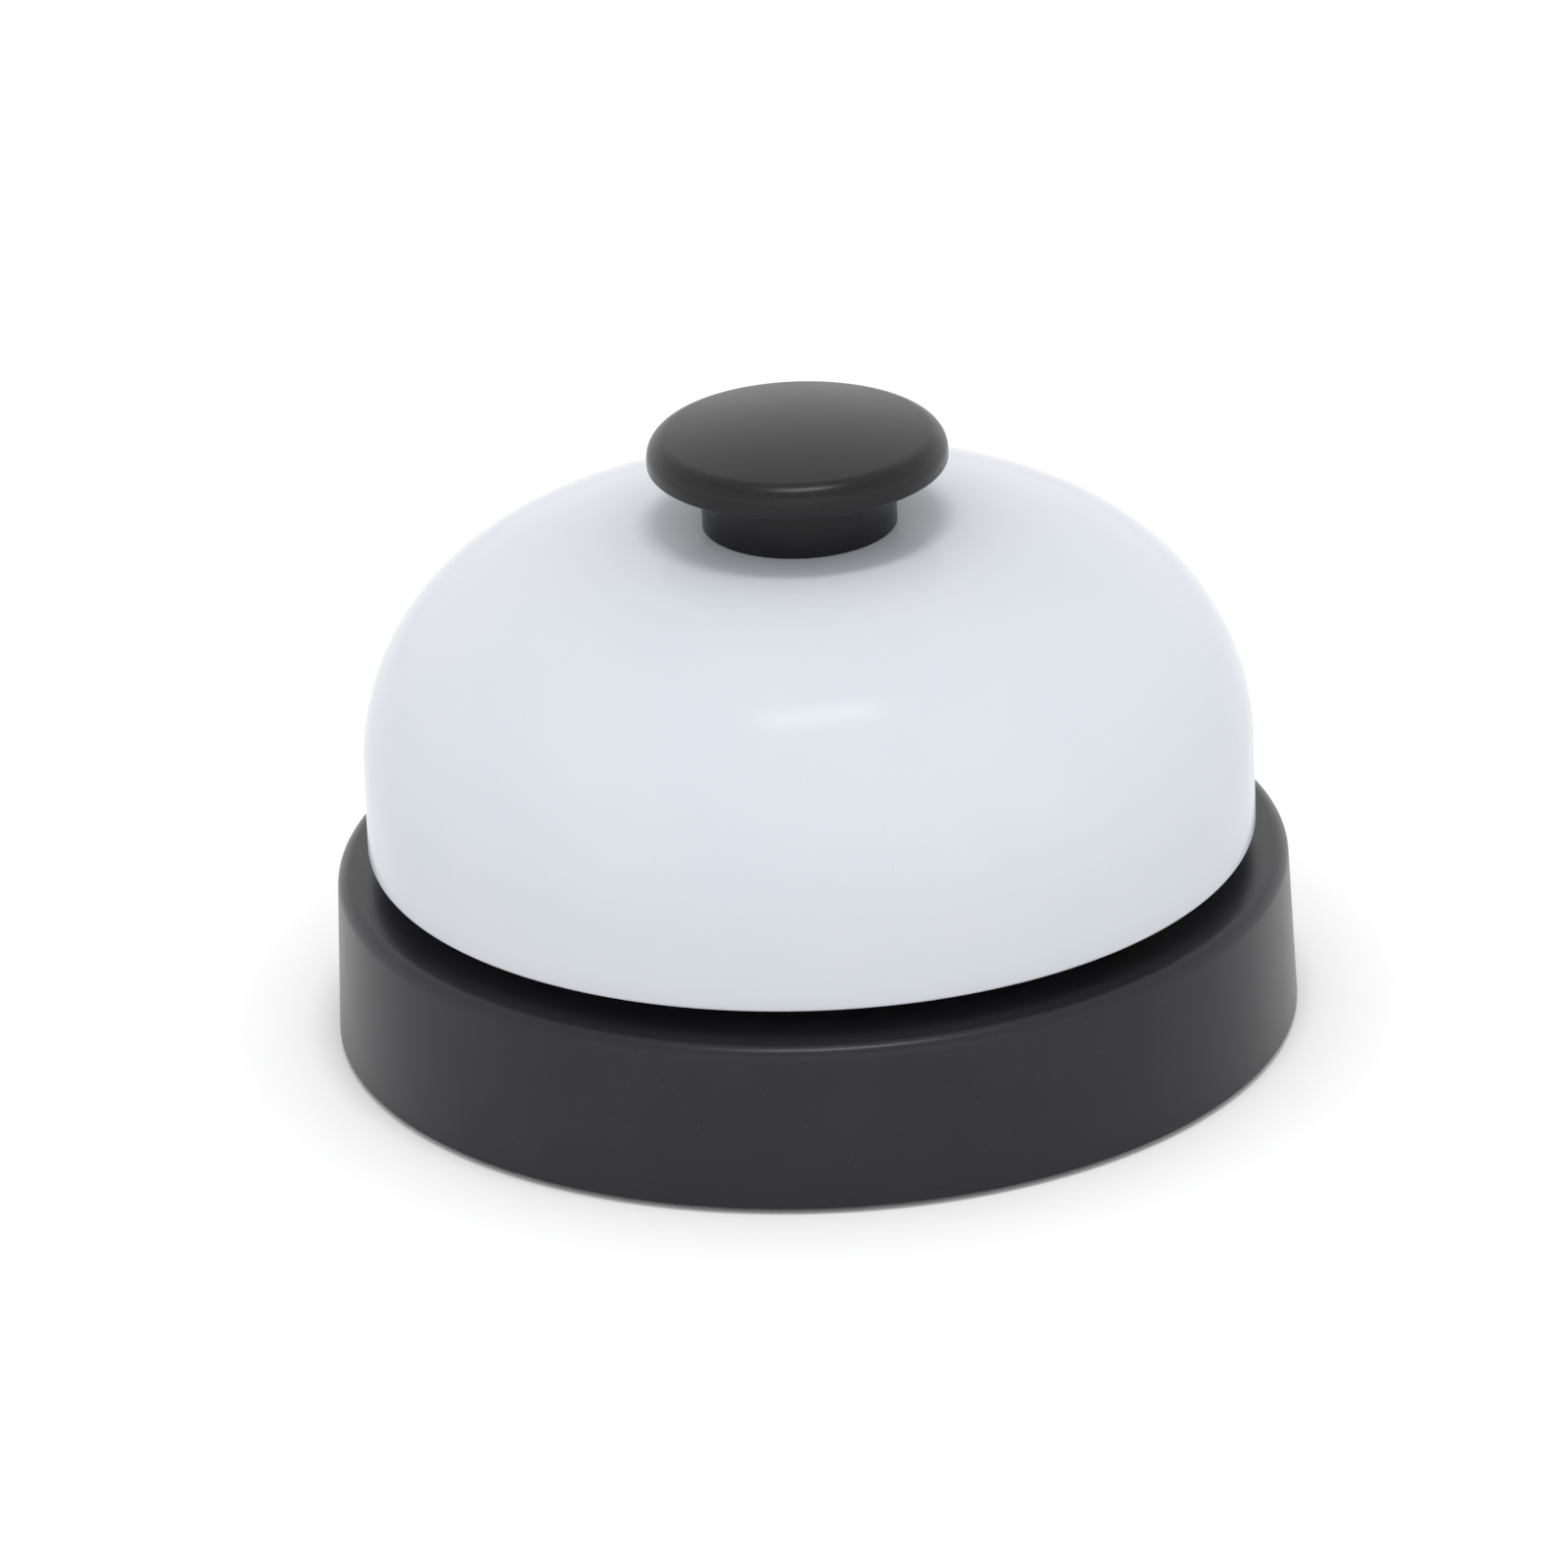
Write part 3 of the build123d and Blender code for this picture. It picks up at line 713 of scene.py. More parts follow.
def hexagon_tree():
    """Mills six flats on a turned part, with two of them facing along X."""
    rule = Rule("hexagon", {"Flats": "Float", "Material": "Material"})
    place, radius, turn, height = polar_parts(rule)
    side = rule.maths("FRACT", turn * 6 + 6.5) - 0.5
    limit = rule.size("Flats") / 2 / rule.maths("COSINE", side * (math.tau / 6))
    factor = rule.maths("MINIMUM", limit / rule.maths("MAXIMUM", radius, 0.001), 1.0)
    return rule.finish(scale_radius(rule, rule.size("Geometry"), place, factor))


def set_tree():
    """Places copies of a part round the Z axis."""
    sizes = {"Count": "Int", "Radius": "Float", "Start": "Float"}
    rule = Rule("set", {**sizes, "Material": "Material"})
    index = rule.node("GeometryNodeInputIndex")
    angle = (rule.size("Start") + index * 360 / rule.size("Count")) * (math.tau / 360)
    radius = rule.size("Radius") * mm
    across, along = rule.maths("COSINE", angle) * radius, rule.maths("SINE", angle) * radius
    spot = rule.node("ShaderNodeCombineXYZ", sockets={0: across, 1: along})
    points = rule.node("GeometryNodePoints", sockets={"Count": rule.size("Count"), "Position": spot})
    turn = rule.node("ShaderNodeCombineXYZ", sockets={2: angle})
    copies = rule.node(
        "GeometryNodeInstanceOnPoints",
        sockets={"Points": points, "Instance": rule.size("Geometry"), "Rotation": turn},
    )
    return rule.finish(copies)


thread_rule, hexagon_rule, set_rule = thread_tree(), hexagon_tree(), set_tree()
print("rules:", [r.nodes_tree.name for r in (thread_rule, hexagon_rule, set_rule)])

# %% [markdown]
# Some pieces are not round. The bridge and the lever are pressed from sheet, with bends and flats that
# the CAD model already has. For those a copy of the CAD mesh is taken, each flat made one face and the
# edges given the small radius that a press leaves. A few pieces are joined from several closed bodies,
# which stay closed and run into each other.

# %% Sheet parts, joined parts and cutting
def pressed(name, node, material, edge):
    """A copy of a CAD node with its sharp edges rounded by a few hundredths."""
    source = nodes[node]
    mesh = source.data.copy()
    mesh.transform(source.matrix_world)
    piece = bpy.data.objects.new(name, mesh)
    scene.collection.objects.link(piece)
    piece.data.materials.clear()
    piece.data.materials.append(material)
    smooth(piece)
    flats = piece.modifiers.new("one_face_per_flat", "DECIMATE")
    flats.decimate_type, flats.angle_limit = "DISSOLVE", math.radians(0.5)
    bevel = piece.modifiers.new("edges", "BEVEL")
    bevel.width, bevel.segments, bevel.limit_method = edge * mm, 2, "ANGLE"
    bevel.angle_limit, bevel.use_clamp_overlap = math.radians(40), True
    weighted = piece.modifiers.new("flats", "WEIGHTED_NORMAL")
    weighted.weight, weighted.keep_sharp = 100, False
    piece.data.set_sharp_from_angle(angle=math.pi)
    keep_result(piece)
    print(name, "pressed with", len(piece.data.polygons), "faces")
    return piece


def cut(piece, cutter):
    """Cuts a closed body out of a piece, and removes the cutter."""
    knife = piece.modifiers.new("cut", "BOOLEAN")
    knife.operation, knife.solver, knife.object = "DIFFERENCE", "EXACT", cutter
    keep_result(piece)
    bpy.data.objects.remove(cutter)
    return smooth(piece)


def joined(name, pieces, angle=30):
    """One piece from several closed bodies of the same material."""
    work = bmesh.new()
    for piece in pieces:
        work.from_mesh(piece.data)
    material = pieces[0].data.materials[0]
    for piece in pieces:
        bpy.data.objects.remove(piece)
    whole = new_piece(name, [])
    work.to_mesh(whole.data)
    work.free()
    whole.data.materials.append(material)
    whole.data.shade_smooth()
    whole.data.set_sharp_from_angle(angle=math.radians(angle))
    return whole


def box_body(low, high, material):
    """A closed block between two corners in millimetres."""
    (x0, y0, z0), (x1, y1, z1) = low, high
    spots = [Vector((x, y, z)) * mm for z in (z0, z1) for y in (y0, y1) for x in (x0, x1)]
    faces = [(0, 2, 3, 1), (4, 5, 7, 6), (0, 1, 5, 4), (1, 3, 7, 5), (3, 2, 6, 7), (2, 0, 4, 6)]
    piece = new_piece("block", spots, faces=faces)
    piece.data.materials.append(material)
    return piece


def placed(piece, matrix):
    """Moves a piece's mesh, so that its object can stay at the origin."""
    piece.data.transform(matrix)
    piece.data.update()
    return piece


# %% [markdown]
# ## Under the base
#
# Three bosses stand inside the moulding, each with a rib that runs out towards the wall. They are
# moulded with it, so they join it here. A turned tube and a block run into each other and stay closed,
# which keeps both clean, where a boolean would leave thin faces at the joint.

# %% Bosses and ribs
BOSS_CIRCLE = 26
BOSS_START = 60
SCREW_BOSS = 3.5
SCREW = 1.5
SUNK = 0.5  # how far bosses and ribs run into the deck
RIB = 1.5
RIB_SHORT = 1.5  # what a rib leaves free before the wall
deck_top = base_top - WELL_DEPTH
underside = deck_top - DECK
rib_end = base_radius - BASE_WALL - RIB_SHORT
screw_set = dict(Count=3, Radius=BOSS_CIRCLE, Start=BOSS_START)


def bosses():
    """The three screw bosses with their ribs."""
    top = underside + SUNK
    tube = rounded(
        (SCREW, plate_top, 0.2), (SCREW_BOSS, plate_top, 0.3), (SCREW_BOSS, top, 0), (SCREW, top, 0)
    )
    boss = turned("boss", tube, base_black, segments=48)
    inner, outer = SCREW_BOSS - 0.4, rib_end - BOSS_CIRCLE
    rib = box_body((inner, -RIB / 2, plate_top + 0.3), (outer, RIB / 2, top), base_black)
    one = joined("boss_with_rib", [boss, rib])
    return run_tree(one, set_rule, **screw_set, Material=base_black)


base = joined("base_moulding", [base, bosses()])
hand_over(base, "black_abs", "base_shell")
print("base has", len(base.data.polygons), "faces")

# %% [markdown]
# The bell stands on a rubber ring. Its grooves let it grip, and its edges are round because rubber is
# moulded. The grooves repeat across its width, so a loop writes them into the turned section.

# %% Foot ring
FOOT_WIDTH = 8
GROOVES = 4
GROOVE_DEPTH = 0.5


def foot_section():
    """The closed section of the rubber ring, grooved below."""
    inner, groove_top = foot_radius - FOOT_WIDTH, foot_bottom + GROOVE_DEPTH
    corners = [(inner, foot_top, 0.15), (inner, foot_bottom, 0.4)]
    for k in range(GROOVES):
        middle = inner + FOOT_WIDTH * (k + 1) / (GROOVES + 1)
        corners += [(middle - 0.45, foot_bottom, 0.12), (middle - 0.25, groove_top, 0.1)]
        corners += [(middle + 0.25, groove_top, 0.1), (middle + 0.45, foot_bottom, 0.12)]
    corners += [(foot_radius, foot_bottom, 0.4), (foot_radius, foot_top, 0.15)]
    return rounded(*corners, steps=4)


foot = turned("foot_pad", foot_section(), black_rubber, segments=192)
hand_over(foot, "foot_rubber", "foot_ring")

# %% [markdown]
# The steel plate that closes the base gives the bell its weight, so that it doesn't walk when it is
# rung. Two pressed beads stiffen it. The plate is turned, and a real drill cuts its three screw holes,
# because a hole that doesn't share the plate's axis can't be turned.

# %% Bottom plate
BEADS = 12, 19.5  # radii
BEAD_HEIGHT = 0.45
HOLE_PLAY = 0.2


def plate_section():
    """The half-section of the plate, with two pressed beads."""
    corners = [(0, plate_bottom, 0)]
    bead_top = plate_bottom + BEAD_HEIGHT
    for middle in BEADS:
        corners += [(middle - 1.6, plate_bottom, 0.5), (middle - 0.6, bead_top, 0.5)]
        corners += [(middle + 0.6, bead_top, 0.5), (middle + 1.6, plate_bottom, 0.5)]
    corners += [(plate_radius, plate_bottom, 0.3), (plate_radius, plate_top, 0.2), (0, plate_top, 0)]
    return rounded(*corners)


def bottom_plate():
    """The plate with its three screw holes."""
    plate = turned("bottom_plate", plate_section(), zinc, segments=192, closed=False)
    low, high, radius = plate_bottom - 1, plate_top + 1, SCREW + HOLE_PLAY
    outline = [(0, low), (radius, low), (radius, high), (0, high)]
    drill = turned("drill", outline, zinc, segments=48, closed=False)
    run_tree(drill, set_rule, **screw_set, Material=zinc)
    return cut(plate, drill)


plate = bottom_plate()
hand_over(plate, "zinc_steel", "base_plate")

# %% [markdown]
# Three screws go up through the plate into the bosses. One is turned, its thread is cut by the rule
# above and its cross recess by two tapered blades. The set rule then makes three of it.

# %% Plate screws
PAN_HEAD = 2.8


def cross_recess(top, depth, size, material):
    """A cross-shaped tapered cutter that points up into a screw's head."""
    blades = []
    for turn in (0, 90):
        blade = box_body((-size, -0.17 * size, top - 2), (size, 0.17 * size, top + depth), material)
        for vertex in blade.data.vertices:
            if vertex.co.z > top * mm:
                vertex.co.x *= 0.45
        blades.append(placed(blade, Matrix.Rotation(math.radians(turn), 4, "Z")))
    return blades


def plate_screws():
    """Three pan-head screws with a cross recess and a coarse thread."""
    low, high, _ = span("base_screws")
    head_top = foot_top
    section = rounded(
        (0, low, 0), (PAN_HEAD, low, 0.55), (PAN_HEAD, head_top, 0.1), (SCREW, head_top, 0.08),
        (SCREW, high - 1.2, 0.3), (0, high, 0),
    )
    screw = turned("plate_screw", finely(section, 0.12), zinc, segments=48, closed=False, angle=40)
    sizes = dict(Pitch=1.1, Depth=0.33, Bottom=head_top + 0.3, Top=high - 0.9)
    run_tree(screw, thread_rule, Outside=SCREW, **sizes, Material=zinc)
    for blade in cross_recess(low, 0.6, 1.6, zinc):
        cut(screw, blade)
    screw.name = "plate_screws"
    run_tree(screw, set_rule, **screw_set, Material=zinc)
    return smooth(screw, 75)


screws = plate_screws()
hand_over(screws, "zinc_steel", "base_screws")

# %% [markdown]
# ## The mechanism
#
# A bridge of bent sheet is riveted to the deck. It carries the hollow post on its web and the lever's
# pin between its cheeks. The rivets are turned, with a dimple where the tool has drawn them.

# %% Bridge and rivets
SHEET = 1.2
RIVET_HEAD = 2.3
RIVET_SHANK = 1.3
RIVET_TAIL = 2.0
bridge = pressed("bridge_bracket", "mechanism_bracket", zinc, 0.12)
hand_over(bridge, "zinc_steel", "mechanism_bracket")


def foot_rivets():
    """Four rivets, each with a round head and a drawn dimple."""
    low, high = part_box("bracket_rivets")
    bottom, top = low.z / mm, high.z / mm
    sheet_top = deck_top + SHEET
    section = rounded(
        (0, top - 0.25, 0), (0.55, top - 0.25, 0.1), (0.75, top, 0.1), (RIVET_HEAD, top, 0.6),
        (RIVET_HEAD, sheet_top, 0.05), (RIVET_SHANK, sheet_top, 0), (RIVET_SHANK, underside, 0),
        (RIVET_TAIL, underside, 0.05), (RIVET_TAIL, bottom, 0.3), (0.5, bottom, 0.1),
        (0.3, bottom + 0.4, 0.1), (0, bottom + 0.4, 0),
    )
    rivets = []
    for x in (low.x / mm + RIVET_HEAD, high.x / mm - RIVET_HEAD):
        for y in (low.y / mm + RIVET_HEAD, high.y / mm - RIVET_HEAD):
            rivet = turned("rivet", section, aluminium, segments=40, closed=False)
            rivets.append(placed(rivet, Matrix.Translation(Vector((x, y, 0)) * mm)))
    return joined("foot_rivets", rivets)


rivets = foot_rivets()
hand_over(rivets, "rivet_aluminium", "bracket_rivets")

# %% [markdown]
# The post holds the dome between a nut and the collar, and guides the rod of the button. Its line is
# cut into short stretches before it is turned, so that the thread rule has vertices to move. The flat
# in its bore is made by holding back the vertices that would pass it.

# %% Post
GUIDE = 1.56
GUIDE_FLAT = 1.21
SPRING_BORE = 3.25
SPRING_DEPTH = 12.5
SPIGOT = 4.0
LIP = 4.7
web_bottom = lock_bottom - SHEET
spring_floor = post_top - SPRING_DEPTH


def post_threaded():
    """The hollow post with its fine thread, its guide bore with a flat, and its riveted lip."""
    section = rounded(
        (SPRING_BORE, post_top, 0.15), (post_radius, post_top, 0.5), (post_radius, lock_top, 0.1),
        (SPIGOT, lock_top, 0), (SPIGOT, web_bottom, 0), (LIP, web_bottom, 0.1),
        (LIP, post_bottom, 0.3), (GUIDE, post_bottom, 0.2), (GUIDE, spring_floor, 0.1),
        (SPRING_BORE, spring_floor, 0.1),
    )
    post = turned("post_threaded", finely_closed(section, 0.125), nickel, segments=96, angle=40)
    sizes = dict(Pitch=1.0, Depth=0.52, Bottom=lock_top + 1, Top=post_top - 0.4)
    run_tree(post, thread_rule, Outside=post_radius, **sizes, Material=nickel)
    for vertex in post.data.vertices:
        if math.hypot(vertex.co.x, vertex.co.y) < (GUIDE + 0.02) * mm:
            vertex.co.x = max(vertex.co.x, -GUIDE_FLAT * mm)
    return smooth(post, 75)


post = post_threaded()
hand_over(post, "plated_steel", "threaded_post")

# %% [markdown]
# A nut is chamfered on the lathe before its flats are milled, which leaves a curved edge on each flat.
# The same order is kept here: a turned body first, then the hexagon rule.

# %% Nuts
def hexagon_nut(name, node, flats, bore, material):
    """A nut that is turned with chamfers, then milled to a hexagon."""
    bottom, top, corner = span(node)
    chamfer, lead, face = (corner - flats / 2) * 0.62, 0.35, flats / 2 - 0.1
    section = [
        (bore + lead, bottom), (face, bottom), (corner, bottom + chamfer), (corner, top - chamfer),
        (face, top), (bore + lead, top), (bore, top - lead), (bore, bottom + lead),
    ]
    nut = turned(name, finely_closed(section, 0.2), material, segments=144, angle=25)
    run_tree(nut, hexagon_rule, Flats=flats, Material=material)
    return smooth(nut, 25)


seat_nut = hexagon_nut("dome_nut", "dome_seat_nut", 14, post_radius, nickel)
hand_over(seat_nut, "plated_steel", "dome_seat_nut")
insert = hexagon_nut("brass_insert", "collar_insert", 12.4, post_radius, brass)
hand_over(insert, "insert_brass", "collar_insert")

# %% [markdown]
# Soft washers keep the dome from buzzing on the metal. The toothed one bites into the web, so that the
# post can't turn when the collar is tightened. Its teeth repeat by a rule on the angle of each vertex.

# %% Washers
WASHER_BORE = 5.1
TEETH = 15
TOOTH = 0.8
TOOTH_TWIST = 0.14


def washer(name, node, inner, edge, material, slot):
    """A flat washer with rounded edges."""
    bottom, top, outer = span(node)
    piece = turned(name, slab(inner, outer, bottom, top, edge, edge), material, segments=96)
    hand_over(piece, slot, node)
    return piece


washer("soft_washer_below", "dome_lower_washer", WASHER_BORE, 0.15, black_rubber, "washer_rubber")
washer("soft_washer_above", "dome_upper_washer", WASHER_BORE, 0.1, black_rubber, "washer_rubber")


def toothed_washer():
    """The lock washer, with teeth that are twisted up and down in turn."""
    low, high, root = lock_bottom + 0.15, lock_top - 0.15, lock_radius - TOOTH
    section = finely_closed(slab(SPIGOT, lock_radius, low, high, 0.05, 0.05), 0.2)
    piece = turned("toothed_washer", section, zinc, segments=240)
    for vertex in piece.data.vertices:
        radius, turn = around(vertex, TEETH)
        tooth = math.sin(math.tau * turn)
        if tooth < 0 and radius > root:
            vertex.co.xy *= root / radius
        elif radius > root:
            vertex.co.z += TOOTH_TWIST * mm * (radius - root) / (lock_radius - root) * (4 * (turn % 1) - 1)
    return smooth(piece)


lock = toothed_washer()
hand_over(lock, "zinc_steel", "post_lock_washer")

# %% [markdown]
# ## The plunger
#
# The rod is pressed into the cap. A flat along it runs in the post's guide bore, which keeps the button
# from turning. Under the post a clip snaps into the rod's groove and stops it from being pulled out.

# %% Rod and clip
clip_bottom, clip_top, _ = span("rod_clip")
ROD_FLAT = 1.09  # from the axis
CLIP_GROOVE = 0.4


def plunger():
    """The rod with its round tip, flat and clip groove."""
    tip, top, radius = span("plunger_rod")
    groove = radius - CLIP_GROOVE
    section = arc((0, tip + radius), radius, -90, 0, 12) + [
        (radius, clip_bottom), (groove, clip_bottom), (groove, clip_top), (radius, clip_top),
        (radius, top - 0.3), (radius - 0.3, top), (0, top),
    ]
    rod = turned("plunger_rod_turned", finely(section, 0.5), nickel, segments=64, closed=False)
    for vertex in rod.data.vertices:
        if tip + radius < vertex.co.z / mm < cap_boss_bottom - 0.3:
            vertex.co.x = max(vertex.co.x, -ROD_FLAT * mm)
    return smooth(rod)


rod = plunger()
hand_over(rod, "plated_steel", "plunger_rod", body="button")
clip = pressed("rod_e_clip", "rod_clip", wire_steel, 0.08)
hand_over(clip, "plated_steel", "rod_clip", body="button")

# %% [markdown]
# The spring sits round the rod, between the bore's floor and the cap, with its end coils closed so that
# it stands square. A loop draws the helix and a tree sweeps the wire along it. It gets shorter when the
# button goes down.

# %% Spring
WIRE = 0.5
MEAN = 2.7
COILS = 7
COIL_POINTS = 72
spring_low, spring_high = (corner.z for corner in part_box("return_spring"))


def wire_tree():
    """Sweeps a round wire along a drawn line."""
    rule = Rule("wire", {"Wire": "Float", "Material": "Material"})
    line = rule.node("GeometryNodeMeshToCurve", sockets={0: rule.size("Geometry")})
    disc = rule.node(
        "GeometryNodeCurvePrimitiveCircle", sockets={"Resolution": 16, "Radius": rule.size("Wire") * mm / 2}
    )
    skin = rule.node(
        "GeometryNodeCurveToMesh", sockets={"Curve": line, "Profile Curve": disc, "Fill Caps": True}
    )
    return rule.finish(skin)


def coil_spring():
    """A compression spring with a closed coil at each end."""
    low, high = spring_low + WIRE / 2 * mm, spring_high - WIRE / 2 * mm
    count, points = COIL_POINTS * (COILS + 2), []
    for k in range(count + 1):
        turn = (COILS + 2) * k / count
        first = WIRE * mm * min(turn, 1)
        middle = min(max(turn - 1, 0), COILS) / COILS * (high - low - 2 * WIRE * mm)
        last = WIRE * mm * max(turn - COILS - 1, 0)
        x, y = MEAN * mm * math.cos(math.tau * turn), MEAN * mm * math.sin(math.tau * turn)
        points.append((x, y, low + first + middle + last))
    piece = new_piece("coil_spring", points, [(k, k + 1) for k in range(count)])
    run_tree(piece, wire_tree(), Wire=WIRE, Material=wire_steel)
    smooth(piece, 50)
    return piece


spring = coil_spring()
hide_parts("return_spring")
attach(spring, "bell")
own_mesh(spring)
print("spring with", len(spring.data.polygons), "faces")

# %% [markdown]
# ## The hammer
#
# The lever is a pressed channel that turns on the pin. The rod's tip pushes its short end down, and the
# brass hammer on its long end flies up to the dome. The hammer and its screw are turned, then put in
# their place on the lever: they are drawn upright, on the lever's own level, and tilted with it. A rubber
# stop under the arm keeps it quiet when it falls back.

# %% Lever, hammer and screw
HAMMER_ARM = 21
REST_TILT = 13.5704  # degrees below level, half of the hammer's swing
HEAD = 4.0
HEAD_HOLE = 7.0
HEAD_RINGS = 1.6, 2.8  # heights above the lever
HEAD_SCREW = 1.5
SCREW_HEAD = 2.7
lever = pressed("hammer_lever_pressed", "hammer_lever", zinc, 0.12)
hand_over(lever, "zinc_steel", "hammer_lever", body="hammer")
on_lever = Matrix.Translation(pivot) @ Matrix.Rotation(math.radians(REST_TILT), 4, "Y")
on_lever = on_lever @ Matrix.Translation((HAMMER_ARM * mm, 0, 0))


def hammer_height():
    """The straight height of the striker, from the top of its tilted box."""
    low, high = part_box("hammer_head")
    tilt = math.radians(REST_TILT)
    return (high.z / mm - HEAD - pivot.z / mm + HAMMER_ARM * math.sin(tilt)) / math.cos(tilt)


def striker():
    """The brass striker: round top, turned rings, a chamfered foot and a screw hole."""
    tall = hammer_height()
    corners = [(HEAD_SCREW, HEAD_HOLE, 0), (HEAD_SCREW, 0, 0.2), (HEAD, 0, 0.4)]
    for z in HEAD_RINGS:
        corners += [(HEAD, z - 0.3, 0.1), (HEAD - 0.3, z, 0.1), (HEAD, z + 0.3, 0.1)]
    side = rounded(*corners, (HEAD, tall, 0))
    section = arc((0, tall), HEAD, 90, 0, 24)[:-1] + side[::-1] + [(0, HEAD_HOLE)]
    head = turned("striker", section, brass, segments=96, closed=False)
    return placed(head, on_lever)


head = striker()
hand_over(head, "hammer_brass", "hammer_head", body="hammer")


def striker_screw():
    """The slotted screw under the lever that holds the striker."""
    bottom, top = -SHEET - 1.4, 6.3
    section = rounded(
        (0, bottom, 0), (SCREW_HEAD, bottom, 0.5), (SCREW_HEAD, -SHEET, 0.1),
        (HEAD_SCREW, -SHEET, 0.05), (HEAD_SCREW, top, 0.3), (0, top, 0),
    )
    screw = turned("striker_screw", finely(section, 0.12), zinc, segments=48, closed=False, angle=40)
    sizes = dict(Pitch=0.5, Depth=0.28, Bottom=-SHEET + 0.1, Top=top - 0.4)
    run_tree(screw, thread_rule, Outside=HEAD_SCREW, **sizes, Material=zinc)
    slot = box_body((-4, -0.4, bottom - 1), (4, 0.4, bottom + 0.7), zinc)
    return placed(cut(screw, slot), on_lever)


head_screw = striker_screw()
hand_over(head_screw, "zinc_steel", "hammer_screw", body="hammer")

# %% [markdown]
# The pin runs across the bridge with a push-on ring at each end. The rings are spring steel with tongues
# that bite the pin: they go on easily and don't come off. A nylon washer on each side keeps the lever's
# ears off the cheeks, so that it swings without scraping.

# %% Pin, rings and washers
across_pivot = Matrix.Translation(pivot) @ Matrix.Rotation(math.radians(-90), 4, "X")
PIN = 1.5
PIN_GROOVE = 7.5  # from the middle
PIN_GROOVE_DEPTH = 0.12
TONGUES = 6
TONGUE_ROOT = 2.2
NYLON = 0.5
NYLON_BORE = 1.56
pin_end = pin_high.y / mm


def pivot_pin():
    """The pin, with rounded ends and a shallow groove near each."""
    corners = [(0, pin_end, 0), (PIN, pin_end, 0.3)]
    floor_radius = PIN - PIN_GROOVE_DEPTH
    for middle in (PIN_GROOVE, -PIN_GROOVE):
        corners += [(PIN, middle + 0.2, 0.05), (floor_radius, middle + 0.1, 0.05)]
        corners += [(floor_radius, middle - 0.1, 0.05), (PIN, middle - 0.2, 0.05)]
    corners += [(PIN, -pin_end, 0.3), (0, -pin_end, 0)]
    pin = turned("pivot_pin_turned", rounded(*corners, steps=4), nickel, segments=48, closed=False)
    return placed(pin, across_pivot)


pin = pivot_pin()
hand_over(pin, "plated_steel", "pivot_pin")


def across_size(node):
    """The radius and the outer end of a pair of pieces on the pin."""
    low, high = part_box(node)
    return (high.z - low.z) / 2 / mm, high.y / mm


def push_rings():
    """The two push-on rings, each with six tongues round its bore."""
    outer, far = across_size("pin_clips")
    rings = []
    for half_turns in (0, 1):
        section = rounded(
            (PIN, far - 0.32, 0.05), (outer, far - 0.5, 0.05), (outer, far - 0.2, 0.05),
            (PIN, far, 0.05),
        )
        ring = turned("ring", finely_closed(section, 0.2), wire_steel, segments=144)
        for vertex in ring.data.vertices:
            radius, turn = around(vertex, TONGUES)
            if radius < TONGUE_ROOT and 0.4 < turn % 1 < 0.6:
                vertex.co.xy *= TONGUE_ROOT / radius
        placed(ring, Matrix.Rotation(math.pi * half_turns, 4, "X"))
        rings.append(smooth(ring))
    return placed(joined("push_rings", rings), across_pivot)


rings = push_rings()
hand_over(rings, "spring_steel", "pin_clips")


def nylon_washers():
    """The two thin washers beside the lever's ears."""
    outer, far = across_size("thrust_washers")
    washers = []
    for low in (far - NYLON, -far):
        section = slab(NYLON_BORE, outer, low, low + NYLON, 0.08, 0.12)
        washers.append(turned("thrust", section, natural_nylon, segments=64))
    return placed(joined("nylon_washers", washers), across_pivot)


thrust = nylon_washers()
hand_over(thrust, "nylon", "thrust_washers")
stop = pressed("rubber_stop", "lever_bumper", black_rubber, 0.3)
hand_over(stop, "foot_rubber", "lever_bumper")

# %% [markdown]
# ## Studio
#
# The bell stands on a plain white floor in an even white room, as for a catalogue. A black plastic
# part shows what stands round it, so the room is bright on all sides. One soft lamp overhead gives the
# short highlights on the dome, on the cap's rim and on the base's edge, and a large weak one fills from
# the front.

# %% Floor, room and lamp
def floor():
    """A large round floor."""
    finish = Finish("floor_white", Roughness=0.9)
    tone = finish.noise(400, 1)
    finish.drive(Base_Color=finish.blend(tone, rgb(0.93, 0.93, 0.93), rgb(0.95, 0.95, 0.95)))
    count, radius = 64, 4.0
    ring = [Matrix.Rotation(math.tau * k / count, 3, "Z") @ Vector((radius, 0, 0)) for k in range(count)]
    piece = new_piece("floor", ring, faces=[range(count)])
    piece.data.materials.append(finish.material)


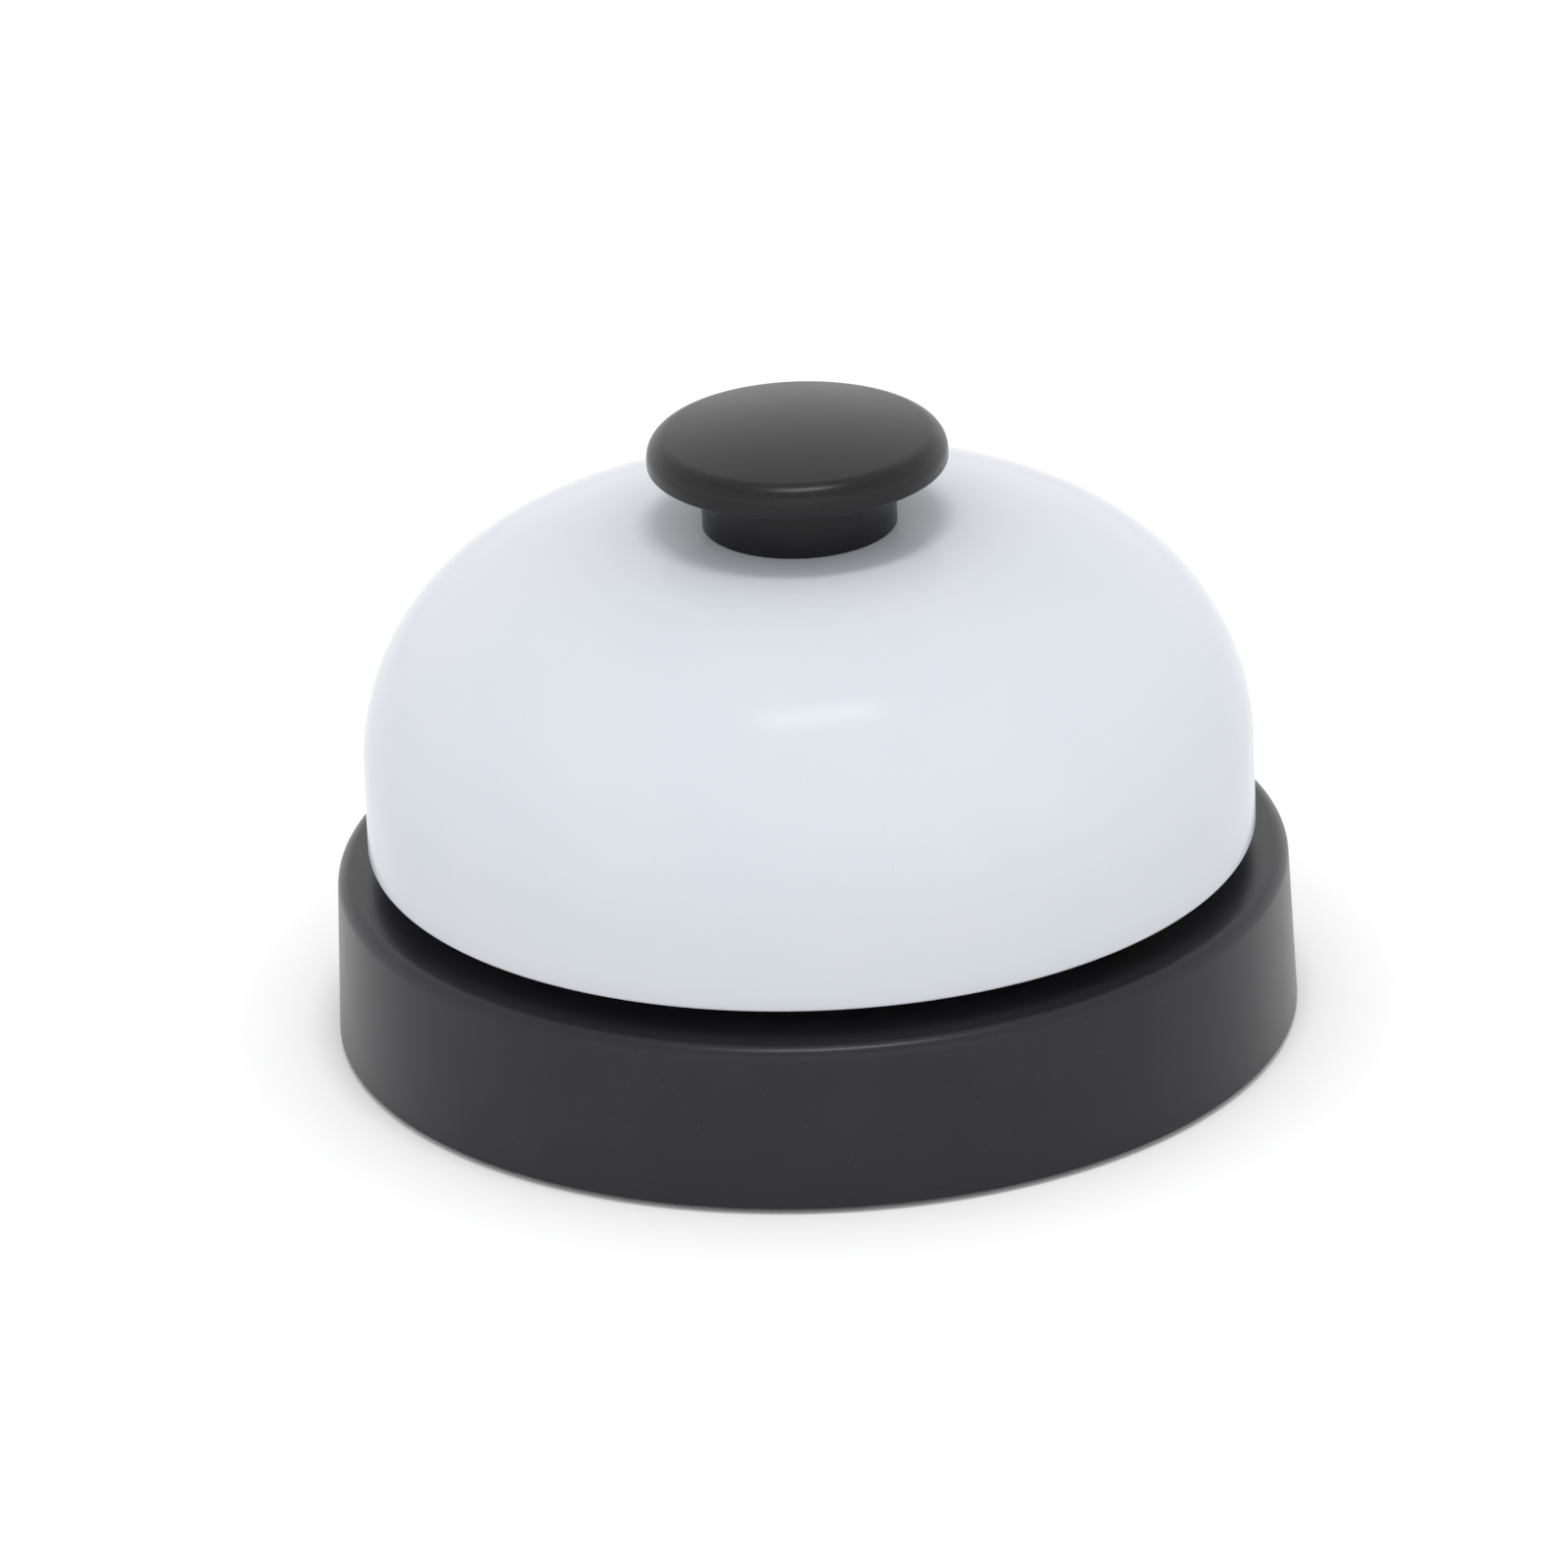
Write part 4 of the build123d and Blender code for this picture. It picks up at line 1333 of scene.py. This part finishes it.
def room(*levels):
    """A white room whose brightness depends on height, from pairs of height and brightness."""
    world = bpy.data.worlds.new("room")
    world.use_nodes = True
    tree = Tree(world.node_tree)
    direction = tree.node("ShaderNodeTexCoord", output="Object")
    height = tree.node("ShaderNodeSeparateXYZ", sockets={0: direction}, output=2)
    brightest = max(level for _, level in levels)
    stops = [(place, rgb(*[level / brightest] * 3)) for place, level in levels]
    background = world.node_tree.nodes["Background"]
    tree.feed(background.inputs["Color"], tree.node("ShaderNodeValToRGB", {"stops": stops}, {"Fac": height}))
    background.inputs["Strength"].default_value = brightest
    scene.world = world


def lamp(name, place, aim, width, depth, watts):
    """A soft rectangular lamp that points at a place."""
    light = bpy.data.lights.new(name, "AREA")
    light.shape, light.size, light.size_y, light.energy = "RECTANGLE", width, depth, watts
    made = bpy.data.objects.new(name, light)
    made.location = place
    made.rotation_euler = (Vector(aim) - Vector(place)).to_track_quat("-Z", "Y").to_euler()
    scene.collection.objects.link(made)


floor()
room((0.0, 1.34), (0.25, 1.3), (0.55, 1.02), (1.0, 0.7))
lamp("overhead", (0.03, -0.09, 1.0), (0, 0, 0.03), 0.34, 0.16, 2.8)
lamp("front", (0.1, -1.7, 0.9), (0, 0, 0.03), 1.8, 0.9, 2.5)
scene.view_settings.view_transform = "Standard"

# %% [markdown]
# The camera looks down on the bell from the front. It is far away with a long lens, which keeps the
# ellipses of the bell flat and even, and it is rolled a little, as one held by hand would be.

# %% Camera
LENS = 315.0
CAMERA_PLACE = Vector((0, -1.1065, 0.5098))
CAMERA_AIM = Vector((-0.00229, 0, 0.02178))
CAMERA_ROLL = 2.26  # degrees


def camera():
    """The camera, tilted a little as it is held by hand."""
    data = bpy.data.cameras.new("camera")
    data.lens, data.sensor_width = LENS, 36
    data.clip_end = 100
    made = bpy.data.objects.new("camera", data)
    made.location = CAMERA_PLACE
    made.rotation_mode = "QUATERNION"
    look = (CAMERA_AIM - CAMERA_PLACE).to_track_quat("-Z", "Y")
    made.rotation_quaternion = look @ Quaternion((0, 0, 1), math.radians(-CAMERA_ROLL))
    scene.collection.objects.link(made)
    scene.camera = made


camera()
print("camera", round((CAMERA_AIM - CAMERA_PLACE).length, 3), "m from the bell")
